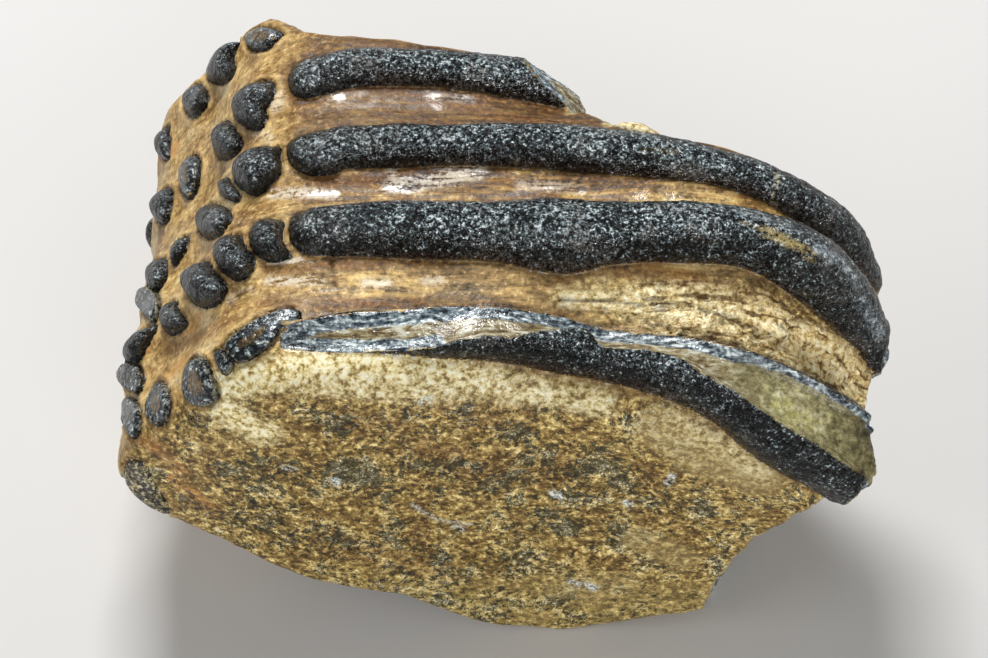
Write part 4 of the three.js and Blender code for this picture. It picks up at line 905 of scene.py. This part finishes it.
class Graph:
    """Short names for the shader nodes used below."""

    def __init__(self, tree):
        self.tree = tree
        self.column = 0

    def node(self, kind, **settings):
        n = self.tree.nodes.new(kind)
        n.location = (self.column % 12 * 190, -(self.column // 12) * 240)
        self.column += 1
        for k, v in settings.items():
            setattr(n, k, v)
        return n

    def put(self, socket, value):
        if isinstance(value, bpy.types.NodeSocket):
            self.tree.links.new(value, socket)
        else:
            socket.default_value = value

    def attribute(self, name):
        return self.node("ShaderNodeAttribute", attribute_name=name).outputs["Fac"]

    def flow(self, name):
        return self.node("ShaderNodeAttribute", attribute_name=name).outputs["Vector"]

    def math(self, op, a, b=None, c=None, clamp=False):
        n = self.node("ShaderNodeMath", operation=op, use_clamp=clamp)
        for i, v in enumerate((a, b, c)):
            if v is not None:
                self.put(n.inputs[i], v)
        return n.outputs[0]

    def add(self, a, b): return self.math("ADD", a, b)
    def sub(self, a, b): return self.math("SUBTRACT", a, b)
    def mul(self, a, b, clamp=False): return self.math("MULTIPLY", a, b, clamp=clamp)
    def mad(self, a, b, c): return self.math("MULTIPLY_ADD", a, b, c)
    def top(self, a, b): return self.math("MAXIMUM", a, b)
    def low(self, a, b): return self.math("MINIMUM", a, b)
    def inv(self, a): return self.math("SUBTRACT", 1.0, a)

    def step(self, v, a, b, lo=0.0, hi=1.0):
        n = self.node("ShaderNodeMapRange", interpolation_type="SMOOTHSTEP")
        for k, q in zip(("Value", "From Min", "From Max", "To Min", "To Max"), (v, a, b, lo, hi)):
            self.put(n.inputs[k], q)
        return n.outputs[0]

    def mix(self, f, a, b, blend="MIX"):
        n = self.node("ShaderNodeMix", data_type="RGBA", blend_type=blend)
        self.put(n.inputs[0], f)
        self.put(n.inputs[6], a)
        self.put(n.inputs[7], b)
        return n.outputs[2]

    def blend(self, f, a, b):
        n = self.node("ShaderNodeMix", data_type="FLOAT")
        self.put(n.inputs[0], f)
        self.put(n.inputs[2], a)
        self.put(n.inputs[3], b)
        return n.outputs[0]

    def scale(self, vector, by):
        n = self.node("ShaderNodeVectorMath", operation="MULTIPLY")
        self.put(n.inputs[0], vector)
        n.inputs[1].default_value = by
        return n.outputs[0]

    def shift(self, vector, other, amount):
        n = self.node("ShaderNodeVectorMath", operation="MULTIPLY_ADD")
        self.put(n.inputs[0], other)
        n.inputs[1].default_value = (amount, amount, amount)
        self.put(n.inputs[2], vector)
        return n.outputs[0]

    def noise(self, vector, size, detail=3.0, rough=0.55, warp=0.0, colour=False):
        n = self.node("ShaderNodeTexNoise")
        self.put(n.inputs["Vector"], vector)
        n.inputs["Scale"].default_value = 1.0 / size
        n.inputs["Detail"].default_value = detail
        n.inputs["Roughness"].default_value = rough
        n.inputs["Distortion"].default_value = warp
        return n.outputs["Color" if colour else "Fac"]

    def tint(self, colour, by):
        """A colour made lighter or darker by a factor."""
        n = self.node("ShaderNodeVectorMath", operation="SCALE")
        self.put(n.inputs[0], colour)
        self.put(n.inputs["Scale"], self.top(by, 0.15))
        return n.outputs[0]

    def ramp(self, f, stops):
        n = self.node("ShaderNodeValToRGB")
        self.put(n.inputs[0], f)
        band = n.color_ramp
        while len(band.elements) < len(stops):
            band.elements.new(0.5)
        for element, (at, colour) in zip(band.elements, stops):
            element.position = at
            element.color = colour
        return n.outputs[0]


material = bpy.data.materials.new("fossil_tooth")
material.use_nodes = True
tree = material.node_tree
tree.nodes.clear()
g = Graph(tree)
A = {name: g.attribute(name) for name in readings}
mm = g.scale(g.node("ShaderNodeTexCoord").outputs["Object"], (1000.0, 1000.0, 1000.0))
place = g.node("ShaderNodeSeparateXYZ")
g.put(place.inputs[0], mm)
straight, loose = g.flow("straight"), g.flow("loose")
blotch, patch, broad = A["blotch"], A["patch"], A["broad"]

lines = g.noise(g.scale(straight, (0.11, 1.0, 0.16)), 1.0, 2, 0.62)
fine = g.noise(mm, 0.9, 2, 0.65)
grit = g.noise(mm, 0.42, 1, 0.6)
ply = g.noise(g.scale(loose, (0.8, 1.0, 1.0)), 1.5, 3, 0.72)
worm = g.step(g.math("ABSOLUTE", g.sub(fine, 0.5)), 0.030, 0.006)   # thin crooked lines

speckle = g.add(g.mul(fine, 0.55), g.mul(grit, 0.45))

# -- cement between the plates: honey to beige, streaked along the plates
tone = g.add(g.add(g.mul(lines, 0.34), g.mul(broad, 0.26)), g.add(g.mul(blotch, 0.24), g.mul(patch, 0.26)))
honey = g.ramp(tone, [(0.42, rgb(62, 38, 14)), (0.48, rgb(106, 74, 34)), (0.54, rgb(146, 110, 58)),
                      (0.60, rgb(178, 143, 78)), (0.70, rgb(212, 184, 122))])
honey = g.mix(g.mul(g.step(fine, 0.56, 0.70), 0.45), honey, rgb(224, 204, 156))
honey = g.mix(g.mul(g.step(fine, 0.45, 0.30), 0.60), honey, rgb(76, 48, 18))
honey = g.mix(g.mul(g.step(place.outputs[1], -14.0, -18.0), 0.35), honey, rgb(204, 178, 128))
honey = g.mix(g.mul(g.step(place.outputs[1], 6.0, 9.0), 0.70), honey, rgb(80, 48, 12))
# caramel towards the tips
caramel = g.ramp(g.add(g.mul(ply, 0.30), g.add(g.mul(patch, 0.35), g.mul(blotch, 0.35))),
                 [(0.39, rgb(112, 80, 38)), (0.46, rgb(162, 126, 70)), (0.53, rgb(194, 162, 102)), (0.64, rgb(226, 204, 150))])
caramel = g.mix(g.mul(g.step(fine, 0.45, 0.32), 0.5), caramel, rgb(78, 50, 22))
caramel = g.mix(g.mul(g.step(fine, 0.57, 0.70), 0.5), caramel, rgb(226, 208, 164))
valley = g.mix(g.mul(A["tipward"], 0.8), honey, caramel)
# painted shade: the cement turns dark brown close to the bars and digits, where their shade falls
valley = g.mix(g.mul(A["painted_shade_by_bars"], g.step(g.add(g.mul(broad, 0.5), g.mul(patch, 0.5)), 0.36, 0.60, 0.95, 0.30)), valley,
               g.ramp(fine, [(0.34, rgb(36, 20, 8)), (0.5, rgb(78, 48, 18)), (0.66, rgb(128, 88, 42))]))
valley = g.mix(g.mul(A["rim"], g.step(patch, 0.35, 0.6, 0.25, 0.85)), valley, rgb(206, 174, 116))
valley = g.tint(valley, g.mad(g.add(g.mul(lines, 0.42), g.add(g.mul(fine, 0.30), g.mul(ply, 0.28))), g.blend(A["tipward"], 5.0, 3.0), g.blend(A["tipward"], -1.5, -0.42)))

# -- the broad front face: gold tan, mottled, dark mineral specks
mottle = g.add(g.mul(ply, 0.42), g.add(g.mul(patch, 0.34), g.mul(fine, 0.24)))
gold = g.ramp(mottle, [(0.40, rgb(96, 70, 30)), (0.455, rgb(128, 100, 48)), (0.505, rgb(158, 131, 70)),
                       (0.555, rgb(188, 162, 98)), (0.62, rgb(230, 210, 150))])
gold = g.mix(g.mul(g.step(fine, 0.57, 0.66), 0.50), gold, rgb(226, 204, 138))
gold = g.mix(g.mul(g.step(place.outputs[2], 24.0, 8.0), 0.35), gold, rgb(186, 166, 102))
gold = g.tint(gold, g.mad(g.add(g.mul(ply, 0.55), g.mul(speckle, 0.45)), 4.4, -1.2))
face = g.mix(g.mul(A["tan"], 0.7), gold, g.mix(g.step(fine, 0.35, 0.7), rgb(146, 124, 78), rgb(200, 178, 122)))
cement = g.mix(A["front"], valley, face)

# stains and pale bands
stain = g.mul(A["brown"], g.step(g.add(g.mul(lines, 0.6), g.mul(patch, 0.4)), 0.36, 0.60, 0.25, 1.0))
cement = g.mix(g.mul(stain, 0.85), cement, g.ramp(fine, [(0.3, rgb(70, 40, 14)), (0.6, rgb(128, 82, 36)), (0.8, rgb(170, 126, 70))]))
cement = g.mix(g.mul(A["orange"], g.step(patch, 0.3, 0.65, 0.2, 0.75)), cement, rgb(188, 124, 56))
pale = g.mul(A["cream"], g.step(g.add(g.mul(fine, 0.5), g.mul(ply, 0.5)), 0.36, 0.54, 0.5, 1.0))
cement = g.mix(g.mul(pale, 0.95), cement, g.ramp(g.add(g.mul(fine, 0.5), g.mul(ply, 0.5)),
               [(0.38, rgb(160, 130, 68)), (0.445, rgb(208, 186, 122)), (0.51, rgb(244, 226, 166)), (0.58, rgb(255, 250, 218))]))
# dark specks: clustered dendrites
tree_like = g.add(g.mul(g.noise(loose, 1.3, 3, 0.85), 0.50), g.add(g.mul(patch, 0.30), g.mul(A["dark"], 0.050)))
speck = g.mul(g.mul(g.step(tree_like, 0.428, 0.440), g.blend(A["cream"], 1.0, 0.15)), g.mul(A["front"], g.step(A["tan"], 0.2, 0.8, 1.0, 0.25)))
cement = g.mix(g.mul(speck, 0.85), cement, g.mix(g.step(speckle, 0.42, 0.64), rgb(8, 16, 10), rgb(58, 62, 40)))
# painted glints: bright flecks on the front face standing for light caught by the varnish on the broken grain
painted_front_glint = g.mul(g.mul(A["front"], worm), g.mul(g.step(patch, 0.50, 0.64), g.step(ply, 0.48, 0.54)))
cement = g.mix(g.mul(painted_front_glint, 0.8), cement, rgb(240, 232, 196))
chips = g.mul(A["chip"], g.step(fine, 0.40, 0.52))
cement = g.mix(chips, cement, g.mix(g.step(grit, 0.4, 0.6), rgb(150, 158, 152), rgb(240, 242, 232)))
# fractured cement by the root end
flaky = g.mul(A["flake"], g.step(g.add(patch, g.mul(A["flake"], 0.4)), 0.6, 0.9))
cement = g.mix(g.mul(flaky, 0.85), cement, g.ramp(g.add(g.mul(fine, 0.30), g.add(g.mul(ply, 0.35), g.mul(lines, 0.35))),
               [(0.38, rgb(124, 92, 46)), (0.45, rgb(190, 160, 102)), (0.52, rgb(226, 204, 150)), (0.61, rgb(250, 238, 200))]))
cement = g.tint(cement, g.mad(A["flake"], g.mad(speckle, 2.6, g.step(place.outputs[0], 34.0, 50.0, -1.26, -0.72)), 1.0))
splits = g.mul(A["flake"], g.step(g.add(g.mul(lines, 0.75), g.mul(patch, 0.25)), 0.445, 0.41))
cement = g.mix(g.mul(splits, 0.7), cement, rgb(92, 66, 32))
cement = g.mix(g.mul(A["gap"], g.step(fine, 0.36, 0.56, 0.75, 0.15)), cement, rgb(84, 60, 28))
cement = g.mix(g.mul(A["crack"], 0.9), cement, rgb(46, 30, 14))
# painted shade: darker cement in the crease where it meets the enamel, outside the brown fringe
cement = g.mix(g.mul(A["groove"], g.inv(A["fringe"])), cement, g.mix(0.65, cement, rgb(60, 36, 12)))

# painted highlights: near-white patches in the cement's colour along the gloss paths, where the key light would mirror
painted_highlight = g.mul(A["gloss_and_painted_highlight"], g.step(g.add(g.mul(lines, 0.6), g.mul(fine, 0.4)), 0.43, 0.51))
cement = g.mix(g.mul(painted_highlight, 0.55), cement, rgb(246, 240, 222))

# -- enamel skin: near black, granular, with painted glints for highlights and paler worn points
grains = g.math("ABSOLUTE", g.sub(fine, 0.5))   # round grains between sharp creases
sleek = g.top(A["tipward"], g.step(place.outputs[0], -12.0, -36.0, 0.0, 0.8))
# painted highlights: the enamel's glints are denser where it faces up, towards the mirrored key light, and in random
# patches
lively = g.add(g.mul(A["faces_up"], g.blend(sleek, 1.15, 0.6)), g.add(g.mul(g.sub(patch, 0.5), 3.0), g.mul(g.sub(ply, 0.5), 3.0)))
painted_enamel_glint = g.add(speckle, g.mul(g.sub(lively, 0.36), 0.055))
black = g.ramp(painted_enamel_glint, [(0.44, rgb(1, 2, 2)), (0.505, rgb(7, 8, 8)), (0.545, rgb(32, 36, 36)),
                         (0.58, rgb(88, 102, 106)), (0.62, rgb(166, 182, 186)), (0.67, rgb(240, 246, 246))])
black = g.mix(g.mul(worm, g.step(painted_enamel_glint, 0.46, 0.56, 0.0, 0.55)), black, rgb(146, 164, 170))
black = g.mix(g.mul(sleek, g.blend(A["faces_up"], 0.80, 0.30)), black, rgb(4, 5, 4))
brownish = g.mul(g.mul(g.step(patch, 0.54, 0.66), g.step(fine, 0.44, 0.56)), g.blend(A["tipward"], 0.55, 0.0))
black = g.mix(brownish, black, rgb(70, 50, 24))
black = g.mix(g.mul(A["vein"], g.step(fine, 0.40, 0.52)), black, rgb(214, 206, 180))
crust = g.step(g.add(g.mul(ply, 0.5), g.mul(fine, 0.5)), 0.47, 0.53)
black = g.mix(A["crust"], black, g.mix(crust, rgb(26, 26, 18), g.ramp(speckle, [(0.42, rgb(74, 62, 34)), (0.52, rgb(132, 114, 70)), (0.62, rgb(216, 206, 166))])))
black = g.mix(g.mul(A["low_ring"], g.step(g.add(fine, g.mul(patch, 0.6)), 0.74, 0.92, 0.0, 0.65)), black, rgb(140, 136, 112))

dented = g.mul(A["dent"], g.step(g.add(g.mul(lines, 0.5), g.mul(fine, 0.5)), 0.40, 0.52))
black = g.mix(dented, black, g.ramp(g.add(g.mul(lines, 0.5), g.mul(fine, 0.5)), [(0.38, rgb(70, 54, 26)), (0.5, rgb(150, 132, 78)), (0.62, rgb(206, 190, 138))]))

# -- sections: blue-grey enamel wall, dentine inside
wall_lines = g.noise(g.scale(loose, (0.22, 1.0, 1.0)), 0.8, 2, 0.65)
wall = g.ramp(g.add(g.mul(wall_lines, 0.6), g.mul(fine, 0.4)), [(0.38, rgb(20, 26, 30)), (0.46, rgb(70, 82, 90)),
              (0.53, rgb(130, 144, 150)), (0.62, rgb(222, 230, 228))])
tip_wall = g.mix(g.step(speckle, 0.48, 0.64, 0.94, 0.15), wall, rgb(10, 12, 12))
wall = g.mix(A["tipward"], wall, tip_wall)
dentine = g.ramp(g.add(g.mul(wall_lines, 0.6), g.mul(ply, 0.4)), [(0.40, rgb(80, 64, 38)), (0.47, rgb(124, 108, 74)), (0.54, rgb(158, 148, 116)), (0.63, rgb(200, 198, 180))])
olive = g.ramp(g.add(g.mul(ply, 0.45), g.mul(patch, 0.55)), [(0.36, rgb(70, 62, 38)), (0.46, rgb(120, 112, 76)), (0.55, rgb(156, 148, 106)), (0.68, rgb(206, 200, 168))])
olive = g.mix(g.mul(g.step(blotch, 0.48, 0.60), 0.55), olive, rgb(148, 152, 136))
olive = g.mix(g.mul(g.step(patch, 0.58, 0.68), 0.45), olive, rgb(164, 158, 74))
olive = g.tint(olive, g.mad(fine, 2.4, -0.2))
crazing = g.step(g.math("ABSOLUTE", g.sub(ply, 0.505)), 0.010, 0.003)
olive = g.mix(g.mul(crazing, 0.6), olive, rgb(58, 50, 28))
dentine = g.mix(A["olive"], dentine, olive)
heart = g.mix(g.step(patch, 0.3, 0.7), rgb(84, 66, 36), rgb(142, 112, 66))
heart = g.mix(g.step(speckle, 0.46, 0.60, 0.85, 0.1), heart, rgb(24, 24, 20))
edge_noise = g.mad(ply, 1.4, -0.7)
inward = g.mul(A["section"], g.mad(A["olive"], 0.75, 1.0))
wall_to_core = g.step(g.add(inward, g.mul(edge_noise, 1.3)), 2.30, 2.75)
cut_colour = g.mix(wall_to_core, wall, g.mix(A["tipward"], dentine, heart))
rind = g.step(g.add(A["section"], g.mul(edge_noise, 0.3)), 0.30, 0.05)
cut_colour = g.mix(g.mul(rind, 0.6), cut_colour, rgb(30, 32, 30))
# broken cement
broken_cement = g.ramp(g.add(g.mul(patch, 0.5), g.mul(fine, 0.5)), [(0.32, rgb(112, 84, 44)), (0.48, rgb(168, 140, 90)), (0.64, rgb(206, 186, 140)), (0.8, rgb(228, 216, 182))])

# -- put together
ragged = g.add(edge_noise, g.mul(g.sub(speckle, 0.5), g.mul(A["fringe"], 5.0)))
on_black = g.step(g.add(A["enam"], g.mul(ragged, g.blend(A["fringe"], 0.30, 0.85))), -0.08, 0.12)
black = g.mix(g.mul(A["blue"], g.step(g.add(g.mul(wall_lines, 0.6), g.mul(fine, 0.4)), 0.38, 0.50)), black, wall)
fringe_mix = g.mul(A["fringe"], g.step(speckle, 0.44, 0.56))
black = g.mix(g.mul(fringe_mix, 0.75), black, rgb(80, 54, 24))
cement = g.mix(g.mul(fringe_mix, 0.55), cement, rgb(104, 70, 30))
skin_colour = g.mix(on_black, cement, black)
is_plate = g.step(g.add(A["section"], g.mul(edge_noise, 0.25)), -0.1, 0.1)
cut_all = g.mix(is_plate, g.mix(A["broken"], cement, broken_cement), cut_colour)
on_cut = g.step(g.add(A["cut"], g.mul(edge_noise, 0.12)), 0.42, 0.58)
colour = g.mix(on_cut, skin_colour, cut_all)
not_cut_broken = g.mul(g.mul(A["broken"], g.inv(on_cut)), g.inv(on_black))
colour = g.mix(not_cut_broken, colour, broken_cement)

# -- relief too fine for the mesh, in millimetres
nub = g.noise(mm, 1.3, 1, 0.5)
bump_enamel = g.add(g.mul(grains, g.blend(sleek, 2.1, 0.9)), g.mul(nub, g.blend(sleek, 0.85, 0.80)))
bump_cement = g.add(g.mul(ply, g.blend(A["front"], 0.17, 0.40)), g.mul(fine, g.blend(A["front"], 0.13, 0.26)))
rough_ground = g.add(g.mul(ply, 0.60), g.mul(fine, 0.24))
height = g.blend(g.top(A["broken"], A["flake"]), bump_cement, rough_ground)
height = g.blend(g.step(A["enam"], -0.1, 0.15), height, bump_enamel)
height = g.blend(A["cut"], height, g.add(g.mul(ply, 0.20), g.mul(fine, 0.16)))
height = g.sub(height, g.add(g.mul(A["crack"], 0.3), g.mul(A["gap"], 0.2)))
bump = g.node("ShaderNodeBump")
bump.inputs["Strength"].default_value = 1.0
bump.inputs["Distance"].default_value = 0.001
g.put(bump.inputs["Height"], height)

# the varnish lies smoother over the cement than the cement itself
level = g.mul(g.inv(on_black), g.blend(A["gloss_and_painted_highlight"], g.blend(A["front"], 0.55, 0.20), 0.85))
film = g.node("ShaderNodeMix", data_type="VECTOR")
g.put(film.inputs[0], level)
g.put(film.inputs[4], bump.outputs[0])
g.put(film.inputs[5], g.node("ShaderNodeNewGeometry").outputs["Normal"])
film_normal = g.node("ShaderNodeVectorMath", operation="NORMALIZE")
g.put(film_normal.inputs[0], film.outputs[1])

rough_cement = g.blend(A["front"], g.step(lines, 0.3, 0.7, 0.42, 0.62), g.step(fine, 0.3, 0.7, 0.36, 0.58))
rough_cement = g.blend(A["gloss_and_painted_highlight"], rough_cement, 0.28)
rough = g.blend(on_black, rough_cement, g.step(fine, 0.3, 0.7, 0.22, 0.38))
rough = g.blend(on_cut, rough, g.step(fine, 0.3, 0.7, 0.22, 0.40))
rough = g.blend(g.top(A["broken"], g.mul(A["flake"], 0.8)), rough, 0.62)
pools = g.top(painted_highlight,
              g.step(g.add(g.mul(patch, 0.5), g.mul(broad, 0.5)), 0.52, 0.62, 0.03, 0.35))
varnish = g.blend(A["front"], pools, g.step(ply, 0.46, 0.58, 0.08, 0.50))
# the enamel shines less where it turns away
away = g.node("ShaderNodeLayerWeight")
away.inputs["Blend"].default_value = 0.5
sheen_off = g.step(away.outputs["Facing"], 0.9, 0.35, 0.10, 1.0)
varnish = g.blend(on_black, varnish, g.mul(sheen_off, g.step(g.add(g.mul(patch, 0.5), g.mul(fine, 0.5)), 0.44, 0.56, 0.20, 0.85)))
varnish = g.blend(g.top(A["broken"], A["flake"]), varnish, 0.08)

shader = g.node("ShaderNodeBsdfPrincipled")
g.put(shader.inputs["Base Color"], colour)
g.put(shader.inputs["Roughness"], rough)
g.put(shader.inputs["Normal"], bump.outputs[0])
g.put(shader.inputs["Coat Normal"], film_normal.outputs[0])
g.put(shader.inputs["Coat Weight"], varnish)
shader.inputs["Coat Roughness"].default_value = 0.12
shader.inputs["IOR"].default_value = 1.47
shader.inputs["Specular IOR Level"].default_value = 0.34
output = g.node("ShaderNodeOutputMaterial")
g.put(output.inputs["Surface"], shader.outputs[0])
mesh.materials.clear()
mesh.materials.append(material)
# -------------------------------------------------------- frame, floor, camera
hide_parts("mammoth_tooth")
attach(tooth, "root")

centre = (lo + hi) / 2 * 0.001
floor_mesh = bpy.data.meshes.new("floor")
floor_mesh.from_pydata([(-3, -3, 0), (3, -3, 0), (3, 3, 0), (-3, 3, 0)], [], [(0, 1, 2, 3)])
floor = bpy.data.objects.new("floor", floor_mesh)
floor.location = (0, 0, lo[2] * 0.001)
bpy.context.scene.collection.objects.link(floor)
paper = bpy.data.materials.new("floor_paper")
paper.use_nodes = True
sheet = paper.node_tree.nodes["Principled BSDF"]
sheet.inputs["Base Color"].default_value = (0.64, 0.63, 0.615, 1)
sheet.inputs["Roughness"].default_value = 0.9
floor_mesh.materials.append(paper)


def aim(obj, target):
    direction = np.array(target) - np.array(obj.location)
    d = direction / np.linalg.norm(direction)
    obj.rotation_euler = (math.acos(-d[2]), 0.0, math.atan2(-d[0], d[1]))


def softbox(name, place, size, watts, colour=(1, 1, 1)):
    light = bpy.data.lights.new(name, "AREA")
    light.shape = "RECTANGLE"
    light.size, light.size_y = size
    light.energy = watts
    light.color = colour
    obj = bpy.data.objects.new(name, light)
    obj.visible_glossy = name != "fill_left"
    obj.location = place
    aim(obj, (0, 0, 0.04))
    bpy.context.scene.collection.objects.link(obj)


softbox("key", (-0.10, 0.50, 0.72), (0.30, 0.22), 8.0)
softbox("fill_left", (-0.75, -0.35, 0.65), (0.6, 0.6), 2.0)
softbox("fill_front", (0.25, -1.00, 0.42), (0.8, 0.5), 6.0)
world = bpy.data.worlds.new("studio")
world.use_nodes = True
world.node_tree.nodes["Background"].inputs["Color"].default_value = (0.95, 0.97, 1.0, 1)
world.node_tree.nodes["Background"].inputs["Strength"].default_value = 0.20
bpy.context.scene.world = world

# The camera stands square to the plates, 52 degrees up.
target = np.array([0.0, 4.4355, 45.0]) + SHIFT
rise = math.radians(52)
camera = bpy.data.objects.new("camera", bpy.data.cameras.new("camera"))
camera.data.lens = 100
camera.data.sensor_width = 36
camera.location = tuple((target + 500 * np.array([0, -math.cos(rise), math.sin(rise)])) * 0.001)
camera.rotation_euler = (math.pi / 2 - rise, 0, 0)
bpy.context.scene.collection.objects.link(camera)
bpy.context.scene.camera = camera

# The colours above are the fossil's own, with painted highlights and shade among them, so they are shown as they are.
bpy.context.scene.view_settings.view_transform = "Standard"
